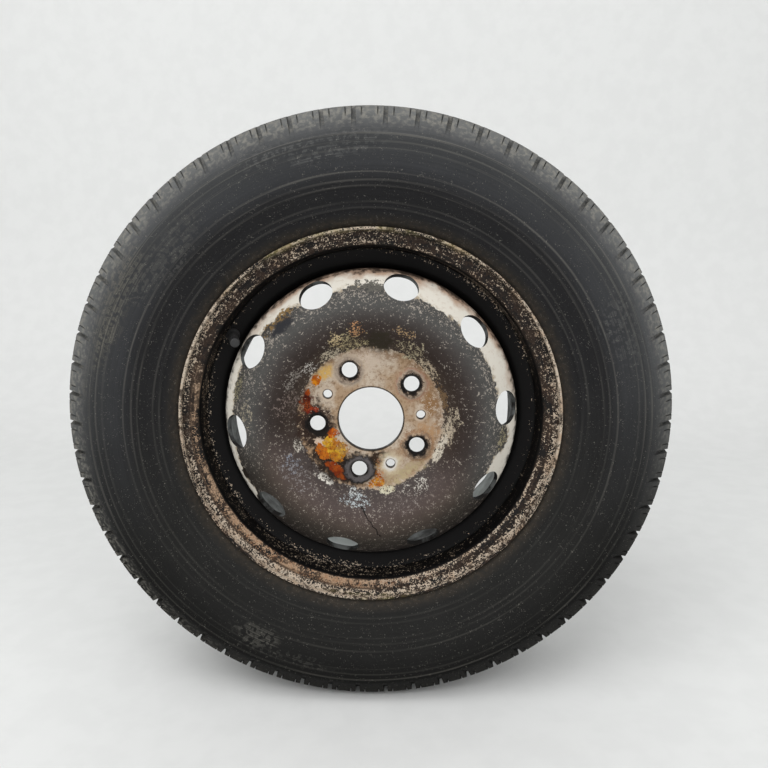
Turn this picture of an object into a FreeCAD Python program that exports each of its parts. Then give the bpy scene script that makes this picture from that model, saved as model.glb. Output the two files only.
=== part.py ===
"""Pressed steel road wheel, 15 by 6 inches, with its tubeless tyre and snap-in valve.

The wheel stands on its tread. X runs right, Y runs inboard along the axle and Z runs up.
The origin is on the axle at the middle of the rim's width, so the outboard face looks along -Y.
Angles are counted from +X towards +Z, as they are seen from the outboard side.
"""
import FreeCAD, Part
import math
import os
import re
import Sketcher

Vector = FreeCAD.Vector
Rotation = FreeCAD.Rotation
Placement = FreeCAD.Placement

# Driving dimensions in millimetres and degrees, with what each one measures
SIZES = [
    ("rim_width", 152.4, "between the two bead faces"),
    ("bead_seat_dia", 380.2, "nominal 15 inch bead seat, at the flange"),
    ("flange_height", 17.3, "flange crest above the bead seat"),
    ("flange_reach", 12.8, "bead face to the outer edge of the lip"),
    ("flange_curl", 6.5, "reach of the curl where the flange turns into the lip"),
    ("seat_taper", 5.0, "angle of the bead seat"),
    ("seat_width", 27.0, "bead face to the top of the well's outboard wall"),
    ("well_depth", 21.7, "bottom of the drop centre below the bead seat's inner edge"),
    ("well_wall_lean", 16.0, "lean of the outboard well wall from the wheel's plane"),
    ("well_width", 27.0, "flat bottom of the drop centre"),
    ("well_slope_run", 34.0, "axial run of the long inboard slope out of the well"),
    ("rim_sheet", 3.0, "thickness of the rolled rim"),
    ("hub_offset", 68.0, "hub face outboard of the rim's middle"),
    ("disc_sheet", 5.0, "thickness of the pressed disc"),
    ("bore_dia", 71.1, "centre bore"),
    ("hub_flat_dia", 158.0, "flat mounting area of the disc"),
    ("crest_rise", 24.0, "hump of the disc above its mounting area"),
    ("hump_inner_slope", 47.5, "inner flank of the hump from the wheel's plane"),
    ("hump_outer_slope", 47.0, "outer flank of the hump, which carries the vents"),
    ("root_ease", 5.3, "reach of the bend between the mounting area and the hump"),
    ("inner_crest_ease", 8.0, "reach of the inner bend of the hump's crest"),
    ("outer_crest_ease", 15.6, "reach of the outer bend of the hump's crest"),
    ("skirt_ease", 7.9, "reach of the bend from the outer flank into the skirt"),
    ("skirt_end_inset", 22.0, "skirt's welded edge outboard of the rim's middle"),
    ("first_bolt_angle", 41.2, "angle of the first wheel bolt"),
    ("bolt_circle", 118.0, "pitch circle of the wheel bolts"),
    ("bolt_count", 5.0, "wheel bolts"),
    ("bolt_hole_dia", 17.0, "through hole for a wheel bolt"),
    ("seat_half_angle", 30.0, "half angle of the conical bolt seat"),
    ("bolt_land", 1.5, "straight land of a bolt hole at the hub face"),
    ("boss_height", 2.5, "raised boss around each bolt seat"),
    ("boss_base_dia", 34.0, "foot of the raised boss"),
    ("boss_top_dia", 28.0, "top of the raised boss"),
    ("vent_count", 10.0, "round vents"),
    ("vent_dia", 37.7, "round vent"),
    ("vent_skirt_gap", 14.7, "vent middles inward of the skirt's outer face"),
    ("vent_inset", 3.5, "vent middles outboard of the mounting area's outer face"),
    ("pilot_circle_dia", 110.0, "circle of the small pilot holes"),
    ("pilot_hole_dia", 9.5, "small pilot hole"),
    ("pilot_step_angle", 144.0, "angle from one pilot hole to the next"),
    ("weld_count", 8.0, "weld beads between disc and rim"),
    ("weld_leg", 4.0, "leg of a weld bead"),
    ("weld_sweep_angle", 20.0, "angle along one weld bead"),
    ("tyre_dia", 668.0, "over the tread's crown"),
    ("crown_radius", 450.0, "curve of the tread across its width"),
    ("tread_width", 168.0, "tread edge to tread edge"),
    ("shoulder_width", 207.0, "foot of the shoulder to foot of the shoulder"),
    ("shoulder_drop", 32.0, "foot of the shoulder below the crown"),
    ("section_width", 215.0, "widest part of the sidewalls"),
    ("section_share", 0.447, "height of the widest part between flange and crown, as a share"),
    ("sidewall_belt", 26.0, "height of the belt at the widest part"),
    ("belt_lean", 2.0, "how far the belt leans in towards the bead"),
    ("strip_width", 185.0, "rim strip where the sidewall leaves the flange"),
    ("strip_rise", 10.6, "rim strip's upper edge above the flange"),
    ("flange_gap", 0.5, "open line between flange and rubber"),
    ("bead_width", 17.5, "bead face to bead toe"),
    ("casing_wall", 9.0, "rubber at the widest part"),
    ("shoulder_wall", 12.6, "rubber at the foot of the shoulder"),
    ("crown_wall", 19.0, "rubber at the crown, tread included"),
    ("groove_offset", 40.0, "middle of the outer tread grooves"),
    ("groove_width", 9.0, "tread groove at the surface"),
    ("groove_floor", 5.0, "tread groove at its bottom"),
    ("groove_depth", 6.0, "tread groove"),
    ("slot_count", 62.0, "shoulder slots on each side"),
    ("slot_width", 4.5, "shoulder slot"),
    ("slot_depth", 7.0, "shoulder slot below the tread's edge"),
    ("slot_slope", 36.0, "fall of a shoulder slot's floor"),
    ("contact_sink", 1.6, "flattening of the tread where the wheel stands"),
    ("valve_angle", 149.5, "angle of the valve"),
    ("valve_hole_dia", 11.3, "valve hole in the well's wall"),
    ("valve_neck_gap", 0.1, "valve rubber inside its hole"),
    ("valve_bulb_dia", 17.5, "rubber bulb on the tyre side"),
    ("valve_bulb_height", 9.0, "rubber bulb on the tyre side"),
    ("valve_bulb_taper", 1.5, "rubber bulb smaller at its free end, all round"),
    ("valve_shoulder_dia", 15.2, "rubber shoulder on the outer side"),
    ("valve_shoulder_height", 5.0, "rubber shoulder on the outer side"),
    ("valve_stem_dia", 9.8, "rubber stem"),
    ("valve_stem_height", 20.0, "rubber stem above the rim"),
    ("barrel_dia", 7.7, "valve thread, outside"),
    ("barrel_bore", 5.2, "air way in the brass barrel"),
    ("barrel_height", 30.0, "brass barrel above the rim"),
    ("seat_bore", 3.4, "narrow part of the air way under the core's cup"),
    ("core_depth", 1.0, "core plug below the barrel's mouth"),
    ("core_plug_height", 6.5, "threaded core plug"),
    ("core_pin_dia", 1.6, "core pin"),
    ("core_pin_rise", 0.7, "core pin above the core plug"),
    ("core_pin_clearance", 0.06, "core pin in its guide"),
    ("core_press", 1.2, "how far the core pin can be pressed"),
    ("core_cup_dia", 3.0, "sealing cup on the core pin"),
    ("cup_gap", 0.3, "sealing cup under the core plug's lip"),
    ("cap_dia", 10.2, "dust cap"),
    ("cap_wall", 1.0, "dust cap"),
    ("cap_rib_count", 12.0, "grip ribs on the dust cap"),
    ("cap_rib_height", 0.4, "grip ribs on the dust cap"),
    ("cap_play", 0.3, "dust cap over the valve thread"),
    ("cap_seal_height", 1.2, "sealing washer in the dust cap"),
    ("cap_stem_gap", 0.4, "dust cap above the rubber stem"),
]
NAMES = {name for name, size, meaning in SIZES}

document = FreeCAD.newDocument("steel_wheel")
sheet = document.addObject("Spreadsheet::Sheet", "Sizes")
for row, (name, size, meaning) in enumerate(SIZES, start=1):
    sheet.set(f"A{row}", str(size))
    sheet.setAlias(f"A{row}", name)
    sheet.set(f"B{row}", "'" + meaning)
document.recompute()


def bound(text):
    """The expression with each size's name pointed at the sheet."""
    return re.sub(r"[a-z_]+", lambda m: f"Sizes.{m[0]}" if m[0] in NAMES else m[0], text)


def value(text):
    """The number that an expression on the sheet's sizes gives."""
    return float(sheet.evalExpression(bound(text)))


def origin_feature(body, role):
    """A body's own origin plane or axis."""
    return next(item for item in body.Origin.OriginFeatures if item.Role == role)


def bind(item, **properties):
    """Ties an object's sizes to expressions on the sheet."""
    for name, text in properties.items():
        item.setExpression(name, bound(text))


def add_outline(sketch, corners):
    """Draws a closed outline through corners of (across, along), each bound to the sheet."""
    points = [Vector(value(across), value(along), 0) for across, along in corners]
    lines = []
    for i, point in enumerate(points):
        segment = Part.LineSegment(point, points[(i + 1) % len(points)])
        lines.append(sketch.addGeometry(segment, False))
    for i, (across, along) in enumerate(corners):
        sketch.addConstraint(Sketcher.Constraint("Coincident", lines[i - 1], 2, lines[i], 1))
        drive(sketch, Sketcher.Constraint("DistanceX", -1, 1, lines[i], 1, points[i].x), across)
        drive(sketch, Sketcher.Constraint("DistanceY", -1, 1, lines[i], 1, points[i].y), along)


def drive(sketch, constraint, text):
    """Adds a dimension to a sketch and binds it to an expression on the sheet."""
    index = sketch.addConstraint(constraint)
    sketch.setExpression(f"Constraints[{index}]", bound(text))


def turned_body(name, corners):
    """A body turned about its own Y axis from a section of (radius, along) corners."""
    body = document.addObject("PartDesign::Body", name)
    body.Label = name
    sketch = body.newObject("Sketcher::SketchObject", name + "_section")
    sketch.AttachmentSupport = [(origin_feature(body, "XY_Plane"), "")]
    sketch.MapMode = "FlatFace"
    add_outline(sketch, corners)
    turn = body.newObject("PartDesign::Revolution", name + "_turn")
    turn.Profile = sketch
    turn.ReferenceAxis = (sketch, ["V_Axis"])
    turn.Angle = 360.0
    document.recompute()
    return body


def spot(angle, radius, along):
    """The point at an angle about the axle, at a radius and a place along it."""
    swing = math.radians(angle)
    return Vector(radius * math.cos(swing), along, radius * math.sin(swing))


def outward(angle, lean):
    """The direction that leans from outboard towards the tread, at an angle about the axle."""
    tilt = math.radians(lean)
    return spot(angle, math.sin(tilt), -math.cos(tilt))


def along_axis(point, direction):
    """A placement with its Z axis along a direction."""
    return Placement(point, Rotation(Vector(0, 0, 1), direction))


def add_primitive(body, kind, name, placement, **sizes):
    """Adds or cuts a primitive in a body, with its sizes bound to the sheet."""
    item = body.newObject("PartDesign::" + kind, name)
    item.Placement = placement
    bind(item, **sizes)
    document.recompute()
    return item


def add_ring(body, feature, count, spread="360"):
    """Repeats a feature about the axle."""
    ring = body.newObject("PartDesign::PolarPattern", feature.Name + "_ring")
    ring.Originals = [feature]
    ring.Axis = (origin_feature(body, "Y_Axis"), [""])
    bind(ring, Occurrences=count, Angle=spread)
    body.Tip = ring
    document.recompute()
    return ring


def sheet_section(path, headings, sheet_size):
    """The closed section of a bent sheet, from the path of its one face.

    Each corner of the path is (across, along, ease), where ease is how far the bend's own strip
    reaches along both runs, or None where the corner is sharp. Each heading is the angle of the
    run that leaves a corner, from the along direction towards the across direction. The other
    face lies one sheet to the right of the path.
    """
    corners, turns = [], []
    for i, (across, along, ease) in enumerate(path):
        before = headings[max(i - 1, 0)]
        after = headings[min(i, len(headings) - 1)]
        if ease is None:
            corners.append((across, along))
            turns.append((before, after))
            continue
        strip = f"({before} + {after}) / 2"
        corners.append((f"{across} - {ease} * sin({before})", f"{along} - {ease} * cos({before})"))
        corners.append((f"{across} + {ease} * sin({after})", f"{along} + {ease} * cos({after})"))
        turns += [(before, strip), (strip, after)]
    other_face = []
    for (across, along), (before, after) in zip(corners, turns):
        share = f"{sheet_size} / (1 + cos({before} - ({after})))"
        other_face.append((f"{across} - (cos({before}) + cos({after})) * {share}",
                           f"{along} + (sin({before}) + sin({after})) * {share}"))
    return corners + other_face[::-1]


# Levels that several pieces share
HALF_RIM = "rim_width / 2"
SEAT_RADIUS = "bead_seat_dia / 2"
LIP_RADIUS = "(bead_seat_dia / 2 + flange_height)"
TAPER = "tan(seat_taper)"
WALL_TOP = "(rim_width / 2 - seat_width)"
WALL_TOP_RADIUS = "(bead_seat_dia / 2 - seat_width * tan(seat_taper))"
WELL_RADIUS = f"({WALL_TOP_RADIUS} - well_depth)"
WALL_RUN = "(well_depth * tan(well_wall_lean))"
WELL_START = f"(-{WALL_TOP} + {WALL_RUN})"
SLOPE_END = f"({WELL_START} + well_width + well_slope_run)"
SLOPE_END_RADIUS = f"(bead_seat_dia / 2 - (rim_width / 2 - {SLOPE_END}) * tan(seat_taper))"
SLOPE = f"(atan(({SLOPE_END_RADIUS} - {WELL_RADIUS}) / well_slope_run) / (1 deg))"
SKIRT_RADIUS = f"({WELL_RADIUS} - rim_sheet)"
VENT_RADIUS = f"({SKIRT_RADIUS} - vent_skirt_gap)"
FACE = "(-hub_offset - disc_sheet)"
CREST = f"({FACE} - crest_rise)"
VENT_LEVEL = f"({FACE} - vent_inset)"
SHOULDER_RADIUS = "(tyre_dia / 2 - shoulder_drop)"
SECTION_RADIUS = f"({LIP_RADIUS} + (tyre_dia / 2 - {LIP_RADIUS}) * section_share)"

# How far the hole cutters reach to each side of a sheet
CUT_REACH = "(4 * disc_sheet)"


def make_rim():
    """The rolled rim: two flanges, tapered bead seats and the drop centre, with the valve hole."""
    path = [
        (LIP_RADIUS, f"-({HALF_RIM} + flange_reach)", None),
        (LIP_RADIUS, f"-{HALF_RIM}", "flange_curl"),
        (SEAT_RADIUS, f"-{HALF_RIM}", None),
        (WALL_TOP_RADIUS, f"-{WALL_TOP}", None),
        (WELL_RADIUS, WELL_START, None),
        (WELL_RADIUS, f"{WELL_START} + well_width", None),
        (SLOPE_END_RADIUS, SLOPE_END, None),
        (SEAT_RADIUS, HALF_RIM, None),
        (LIP_RADIUS, HALF_RIM, "flange_curl"),
        (LIP_RADIUS, f"{HALF_RIM} + flange_reach", None),
    ]
    headings = ["0", "(-90)", "(-seat_taper)", "(well_wall_lean - 90)", "0", SLOPE, "seat_taper", "90", "0"]
    body = turned_body("rim", sheet_section(path, headings, "rim_sheet"))
    hole = along_axis(valve_point(), valve_direction())
    hole.Base = hole.Base - valve_direction() * value(CUT_REACH)
    add_primitive(body, "SubtractiveCylinder", "valve_hole", hole,
                  Radius="valve_hole_dia / 2", Height=f"2 * {CUT_REACH}")
    return body


def valve_point():
    """The middle of the well's outboard wall, on the wheel's side, where the valve sits."""
    level = f"(-{WALL_TOP} + {WELL_START}) / 2 - rim_sheet / cos(well_wall_lean)"
    return spot(value("valve_angle"), value(f"({WALL_TOP_RADIUS} + {WELL_RADIUS}) / 2"), value(level))


def valve_direction():
    """The way the valve points: square to the well's wall, outboard and a little inward."""
    return outward(value("valve_angle"), value("-well_wall_lean"))


def make_disc():
    """The pressed disc: flat mounting area, round hump with vents, and the skirt in the rim."""
    inner_crest = "hub_flat_dia / 2 + crest_rise / tan(hump_inner_slope)"
    outer_crest = f"{VENT_RADIUS} - ({VENT_LEVEL} - {CREST}) / tan(hump_outer_slope)"
    skirt_level = f"{VENT_LEVEL} + vent_skirt_gap * tan(hump_outer_slope)"
    path = [
        ("bore_dia / 2", FACE, None),
        ("hub_flat_dia / 2", FACE, "root_ease"),
        (inner_crest, CREST, "inner_crest_ease"),
        (outer_crest, CREST, "outer_crest_ease"),
        (SKIRT_RADIUS, skirt_level, "skirt_ease"),
        (SKIRT_RADIUS, "-skirt_end_inset", None),
    ]
    headings = ["90", "(90 + hump_inner_slope)", "90", "(90 - hump_outer_slope)", "0"]
    body = turned_body("wheel_disc", sheet_section(path, headings, "disc_sheet"))
    outboard = Vector(0, -1, 0)
    first_bolt = value("first_bolt_angle")

    bolt = spot(first_bolt, value("bolt_circle / 2"), 0)
    middle = bolt + Vector(0, value(f"{FACE} + disc_sheet / 2"), 0)
    land = bolt + Vector(0, value("-hub_offset - bolt_land"), 0)
    back = bolt + Vector(0, value(f"-hub_offset + {CUT_REACH}"), 0)
    flare = "(boss_base_dia - boss_top_dia) / 2 / boss_height"
    boss = add_primitive(body, "AdditiveCone", "bolt_boss", along_axis(middle, outboard),
                         Radius1=f"boss_base_dia / 2 + {flare} * disc_sheet / 2",
                         Radius2="boss_top_dia / 2", Height="boss_height + disc_sheet / 2")
    add_ring(body, boss, "bolt_count")
    seat_depth = "(disc_sheet + boss_height - bolt_land)"
    seat = add_primitive(body, "SubtractiveCone", "bolt_seat", along_axis(land, outboard),
                         Radius1="bolt_hole_dia / 2", Height=seat_depth,
                         Radius2=f"bolt_hole_dia / 2 + {seat_depth} * tan(seat_half_angle)")
    add_ring(body, seat, "bolt_count")
    hole = add_primitive(body, "SubtractiveCylinder", "bolt_hole", along_axis(back, outboard),
                         Radius="bolt_hole_dia / 2", Height=f"2 * {CUT_REACH}")
    add_ring(body, hole, "bolt_count")

    lean = value("hump_outer_slope")
    middle = spot(first_bolt, value(VENT_RADIUS), value(VENT_LEVEL))
    below = middle - outward(first_bolt, lean) * value(CUT_REACH)
    vent = add_primitive(body, "SubtractiveCylinder", "vent", along_axis(below, outward(first_bolt, lean)),
                         Radius="vent_dia / 2", Height=f"2 * {CUT_REACH}")
    add_ring(body, vent, "vent_count")

    pilot_angle = value("first_bolt_angle - 180 / bolt_count")
    pilot = spot(pilot_angle, value("pilot_circle_dia / 2"), value(f"-hub_offset + {CUT_REACH}"))
    small = add_primitive(body, "SubtractiveCylinder", "pilot_hole", along_axis(pilot, outboard),
                          Radius="pilot_hole_dia / 2", Height=f"2 * {CUT_REACH}")
    add_ring(body, small, "3", "2 * pilot_step_angle")
    return body


def make_welds():
    """The weld beads that hold the disc's skirt in the rim's well, as separate solids."""
    sketch = document.addObject("Sketcher::SketchObject", "weld_section")
    add_outline(sketch, [
        (SKIRT_RADIUS, "-skirt_end_inset"),
        (SKIRT_RADIUS, "-skirt_end_inset + weld_leg"),
        (f"{SKIRT_RADIUS} - weld_leg", "-skirt_end_inset"),
    ])
    beads = []
    for number in range(round(value("weld_count"))):
        bead = document.addObject("Part::Revolution", f"weld_bead_{number + 1}")
        bead.Source = sketch
        bead.Axis = Vector(0, -1, 0)
        bead.Solid = True
        bind(bead, Angle="weld_sweep_angle")
        step = value("360 / weld_count") * number
        bead.Placement = Placement(Vector(), Rotation(Vector(0, -1, 0), step))
        beads.append(bead)
    group = document.addObject("Part::Compound", "disc_welds")
    group.Label = "disc_welds"
    group.Links = beads
    document.recompute()
    return group


def crown(across):
    """The tread's radius at a distance from the middle of the tyre."""
    return f"tyre_dia / 2 - ({across}) ^ 2 / (2 * crown_radius)"


def make_tyre():
    """The tyre: grooved tread, slotted shoulders, bulging sidewalls, beads and the hollow casing."""
    groove_level = f"{crown('groove_offset')} - groove_depth"
    outer = [
        ("groove_floor / 2", "tyre_dia / 2 - groove_depth"),
        ("groove_width / 2", crown("groove_width / 2")),
        ("groove_offset - groove_width / 2", crown("groove_offset - groove_width / 2")),
        ("groove_offset - groove_floor / 2", groove_level),
        ("groove_offset + groove_floor / 2", groove_level),
        ("groove_offset + groove_width / 2", crown("groove_offset + groove_width / 2")),
        ("tread_width / 2", crown("tread_width / 2")),
        ("shoulder_width / 2", SHOULDER_RADIUS),
        ("section_width / 2", f"{SECTION_RADIUS} + sidewall_belt / 2"),
        ("section_width / 2 - belt_lean", f"{SECTION_RADIUS} - sidewall_belt / 2"),
        ("strip_width / 2", f"{LIP_RADIUS} + strip_rise"),
        (f"{HALF_RIM} + flange_curl", f"{LIP_RADIUS} + flange_gap"),
        (HALF_RIM, f"{LIP_RADIUS} - flange_curl + flange_gap"),
        (HALF_RIM, SEAT_RADIUS),
        (f"{HALF_RIM} - bead_width", f"{SEAT_RADIUS} - bead_width * {TAPER}"),
    ]
    inner = [
        ("section_width / 2 - casing_wall", f"{SECTION_RADIUS} - casing_wall"),
        ("shoulder_width / 2 - shoulder_wall", SHOULDER_RADIUS),
        ("tread_width / 2 - crown_wall", "tyre_dia / 2 - crown_wall"),
    ]
    inboard = [(radius, width) for width, radius in outer + inner]
    outboard = [(radius, f"-({width})") for width, radius in outer + inner]
    body = turned_body("tyre", inboard + outboard[::-1])

    slope = math.radians(value("slot_slope"))
    edge = Vector(value(crown("tread_width / 2")), value("tread_width / 2"), 0)
    half_pitch = value("180 / slot_count")
    for name, side, turn in (("outboard_slot", -1, 0), ("inboard_slot", 1, half_pitch)):
        normal = Vector(math.cos(slope), side * math.sin(slope), 0)
        along = Vector(-math.sin(slope), side * math.cos(slope), 0)
        across = normal.cross(along)
        floor = Vector(edge.x, side * edge.y, 0) - normal * value("slot_depth")
        corner = floor - along * value("tread_width / 6") - across * value("slot_width / 2")
        place = Placement(corner, Rotation(along, across, normal, "ZXY"))
        swing = Placement(Vector(), Rotation(Vector(0, 1, 0), turn))
        slot = add_primitive(body, "SubtractiveBox", name, swing * place, Length="tread_width / 3",
                             Width="slot_width", Height="3 * slot_depth")
        add_ring(body, slot, "slot_count")

    reach = value("section_width")
    ground = Vector(-reach / 2, -reach / 2, value("contact_sink - tyre_dia / 2 - groove_depth"))
    add_primitive(body, "SubtractiveBox", "contact_flat", Placement(ground, Rotation()),
                  Length="section_width", Width="section_width", Height="groove_depth")
    return body


# The valve's pieces are turned about its own axis and measured from the wheel's side of the well wall
BULB_END = "(-rim_sheet - valve_bulb_height)"
CORE_TOP = "(barrel_height - core_depth)"
CORE_END = f"({CORE_TOP} - core_plug_height)"
CUP_TOP = f"({CORE_END} - cup_gap)"
CUP_HEIGHT = "(2 * core_pin_dia)"
CAP_START = "(valve_stem_height + cap_stem_gap)"
CAP_BORE = "(barrel_dia / 2 + cap_play)"
SEAL_START = "(barrel_height + cap_play)"
SEAL_TOP = f"({SEAL_START} + cap_seal_height)"
CAP_CEILING = f"({SEAL_TOP} + cap_play)"
BARREL_END = f"({BULB_END} + valve_neck_gap)"


def valve_body(name, corners):
    """A piece of the valve, turned about the valve's axis and set in its place on the rim."""
    body = turned_body(name, corners)
    body.Placement = Placement(valve_point(), Rotation(Vector(0, 1, 0), valve_direction()))
    document.recompute()
    return body


def make_valve():
    """The snap-in valve: rubber stem, brass barrel, core plug, core pin, dust cap and its seal."""
    neck = "valve_hole_dia / 2 - valve_neck_gap"
    stem = valve_body("valve_stem", [
        ("barrel_dia / 2", BULB_END),
        ("valve_bulb_dia / 2 - valve_bulb_taper", BULB_END),
        ("valve_bulb_dia / 2", "-rim_sheet"),
        (neck, "-rim_sheet"),
        (neck, "0"),
        ("valve_shoulder_dia / 2", "0"),
        ("valve_stem_dia / 2", "valve_shoulder_height"),
        ("valve_stem_dia / 2", "valve_stem_height"),
        ("barrel_dia / 2", "valve_stem_height"),
    ])
    barrel = valve_body("valve_barrel", [
        ("seat_bore / 2", BARREL_END),
        ("barrel_dia / 2", BARREL_END),
        ("barrel_dia / 2", "barrel_height"),
        ("barrel_bore / 2", "barrel_height"),
        ("barrel_bore / 2", f"{CUP_TOP} - {CUP_HEIGHT} - 2 * core_press"),
        ("seat_bore / 2", f"{CUP_TOP} - {CUP_HEIGHT} - 3 * core_press"),
    ])
    guide = "core_pin_dia / 2 + core_pin_clearance"
    plug = valve_body("core_plug", [
        (guide, CORE_END),
        ("barrel_bore / 2", CORE_END),
        ("barrel_bore / 2", CORE_TOP),
        (guide, CORE_TOP),
    ])
    pin = valve_body("core_pin", [
        ("0", f"{CUP_TOP} - {CUP_HEIGHT}"),
        ("core_cup_dia / 2", f"{CUP_TOP} - {CUP_HEIGHT}"),
        ("core_cup_dia / 2", CUP_TOP),
        ("core_pin_dia / 2", CUP_TOP),
        ("core_pin_dia / 2", f"{CORE_TOP} + core_pin_rise"),
        ("0", f"{CORE_TOP} + core_pin_rise"),
    ])
    seal = valve_body("cap_seal", [
        ("barrel_bore / 2", SEAL_START),
        ("barrel_dia / 2", SEAL_START),
        ("barrel_dia / 2", SEAL_TOP),
        ("barrel_bore / 2", SEAL_TOP),
    ])
    cap = valve_body("valve_cap", [
        (CAP_BORE, CAP_START),
        ("cap_dia / 2", CAP_START),
        ("cap_dia / 2", f"{CAP_CEILING} + cap_wall / 2"),
        ("cap_dia / 2 - cap_wall / 2", f"{CAP_CEILING} + cap_wall"),
        ("0", f"{CAP_CEILING} + cap_wall"),
        ("0", CAP_CEILING),
        (CAP_BORE, CAP_CEILING),
    ])
    rib_width = "cap_rib_height * 2"
    rib_start = Vector(value("cap_dia / 2 - cap_wall / 2"), value(CAP_START), -value(rib_width) / 2)
    rib = add_primitive(cap, "AdditiveBox", "cap_rib", Placement(rib_start, Rotation()),
                        Length="cap_wall / 2 + cap_rib_height", Width=f"{CAP_CEILING} - {CAP_START}",
                        Height=rib_width)
    add_ring(cap, rib, "cap_rib_count")
    return [stem, barrel, plug, pin, seal, cap]


pieces = [make_rim(), make_disc(), make_welds(), make_tyre()] + make_valve()
document.recompute()
for item in document.Objects:
    if "Invalid" in item.State or "Error" in item.State:
        raise RuntimeError(f"{item.Label} failed: {item.State}")
for piece in pieces:
    if piece.Shape.isNull() or not piece.Shape.isValid():
        raise RuntimeError(f"{piece.Label} has no valid shape")

os.makedirs("parts", exist_ok=True)
for piece in pieces:
    piece.Shape.exportStep(f"parts/{piece.Label}.step")
    print(piece.Label, len(piece.Shape.Solids), "solids", round(piece.Shape.Volume), "mm3")
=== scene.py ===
"""Looks of a worn pressed steel road wheel and its tyre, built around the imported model.

The row frame has X to the right, Y inboard along the axle and Z up, with its origin on the axle.
Angles about the axle are counted from +X towards +Z, as they are seen from the outboard side.
Sizes of the pieces are in millimetres, and the meshes are in metres.
"""
import logging
import math
from dataclasses import dataclass, field
from enum import Enum
from typing import Any, Sequence, Union

import bmesh
import bpy
import numpy as np
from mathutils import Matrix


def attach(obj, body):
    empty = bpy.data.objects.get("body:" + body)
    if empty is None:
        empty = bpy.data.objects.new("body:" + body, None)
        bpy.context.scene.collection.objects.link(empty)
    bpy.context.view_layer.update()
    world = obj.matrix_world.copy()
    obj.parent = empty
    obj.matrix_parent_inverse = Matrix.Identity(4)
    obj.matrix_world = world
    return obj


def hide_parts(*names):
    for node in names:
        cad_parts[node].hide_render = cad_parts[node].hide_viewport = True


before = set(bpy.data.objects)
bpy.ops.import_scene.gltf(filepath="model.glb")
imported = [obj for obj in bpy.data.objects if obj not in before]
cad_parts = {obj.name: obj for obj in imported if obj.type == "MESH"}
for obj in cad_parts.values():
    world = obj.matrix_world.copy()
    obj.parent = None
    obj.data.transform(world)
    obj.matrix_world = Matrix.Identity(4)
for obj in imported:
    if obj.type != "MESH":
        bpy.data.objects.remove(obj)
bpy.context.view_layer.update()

LOG = logging.getLogger("steel_wheel")
MM = 0.001
METRE = 1000.0
FULL_TURN = 2.0 * math.pi
Array = np.ndarray
Triple = tuple[float, float, float]
Triples = tuple[Triple, ...]


# Sections and surfaces

def rounded(corners: Sequence[Triple], step_deg: float) -> Array:
    """Turns a line of corners into a smooth section.

    Each corner is cut back along both runs by its radius times the tangent of half its turn, and an
    arc about a middle to the side of the turn joins the two cut points.

    Args:
        corners: Places of (across, along) and the radius of the bend there, zero for a sharp corner.
        step_deg: Largest turn between two points of an arc, in degrees.

    Returns:
        The section's points, as an array of (across, along) rows.
    """
    places = np.array([corner[:2] for corner in corners], float)
    points = [places[:1]]
    for before, here, after, (_, _, radius) in zip(places, places[1:], places[2:], corners[1:]):
        enter = (here - before) / np.linalg.norm(here - before)
        leave = (after - here) / np.linalg.norm(after - here)
        turn = math.acos(np.clip(enter @ leave, -1.0, 1.0))
        if radius <= 0.0 or turn < 1e-4:
            points.append(here[None])
            continue
        side = np.array([-enter[1], enter[0]]) * np.sign(enter[0] * leave[1] - enter[1] * leave[0])
        middle = here - enter * radius * math.tan(turn / 2) + side * radius
        sweep = np.linspace(0.0, turn, 1 + max(2, math.ceil(math.degrees(turn) / step_deg)))[:, None]
        points.append(middle + radius * (enter * np.sin(sweep) - side * np.cos(sweep)))
    points.append(places[-1:])
    return np.concatenate(points)


def run_length(section: Array) -> Array:
    """Distance along a section from its first point to each point."""
    return np.concatenate([[0.0], np.cumsum(np.linalg.norm(np.diff(section, axis=0), axis=1))])


def divided(section: Array, longest: float) -> Array:
    """Adds points along a section's runs, so that none is longer than a limit.

    Args:
        section: Points of (across, along).
        longest: Longest run that is left undivided.

    Returns:
        The section with its own points kept and evenly spaced ones added between them.
    """
    lengths = run_length(section)
    runs = zip(lengths, lengths[1:])
    stops = [np.linspace(a, b, 1 + max(1, math.ceil((b - a) / longest)))[:-1] for a, b in runs]
    at = np.append(np.concatenate(stops), lengths[-1])
    return np.stack([np.interp(at, lengths, section[:, axis]) for axis in (0, 1)], axis=1)


def offset(section: Array, distance: float) -> Array:
    """Moves each point of a section to its right, square to the line between its neighbours.

    Args:
        section: Points of (across, along).
        distance: How far the new section lies from the old one.

    Returns:
        The new section, point for point, lengthened at the bends so that the sheet keeps its gauge.
    """
    run = np.diff(section, axis=0)
    run = run / np.linalg.norm(run, axis=1)[:, None]
    before = np.concatenate([run[:1], run])
    after = np.concatenate([run, run[-1:]])
    share = 1.0 / (1.0 + np.sum(before * after, axis=1))
    heading = (before + after) * share[:, None]
    return section + distance * np.stack([heading[:, 1], -heading[:, 0]], axis=1)


def sheet_loop(face: Array, other: Array) -> Array:
    """Closes a sheet's two faces into one loop with half-round edges.

    Args:
        face: Section of the one face.
        other: Section of the other face, point for point.

    Returns:
        A closed section, in which each end is a half circle on the line between the two faces.
    """
    turn = np.linspace(0.0, math.pi, 7)[1:-1, None]

    def end(first: Array, last: Array, way: Array) -> Array:
        middle, arm = (first + last) / 2, (first - last) / 2
        way = way / np.linalg.norm(way) * np.linalg.norm(arm)
        return middle + arm * np.cos(turn) + way * np.sin(turn)

    far = end(face[-1], other[-1], face[-1] - face[-2])
    near = end(other[0], face[0], face[0] - face[1])
    return np.concatenate([face, far, other[::-1], near])


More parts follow.
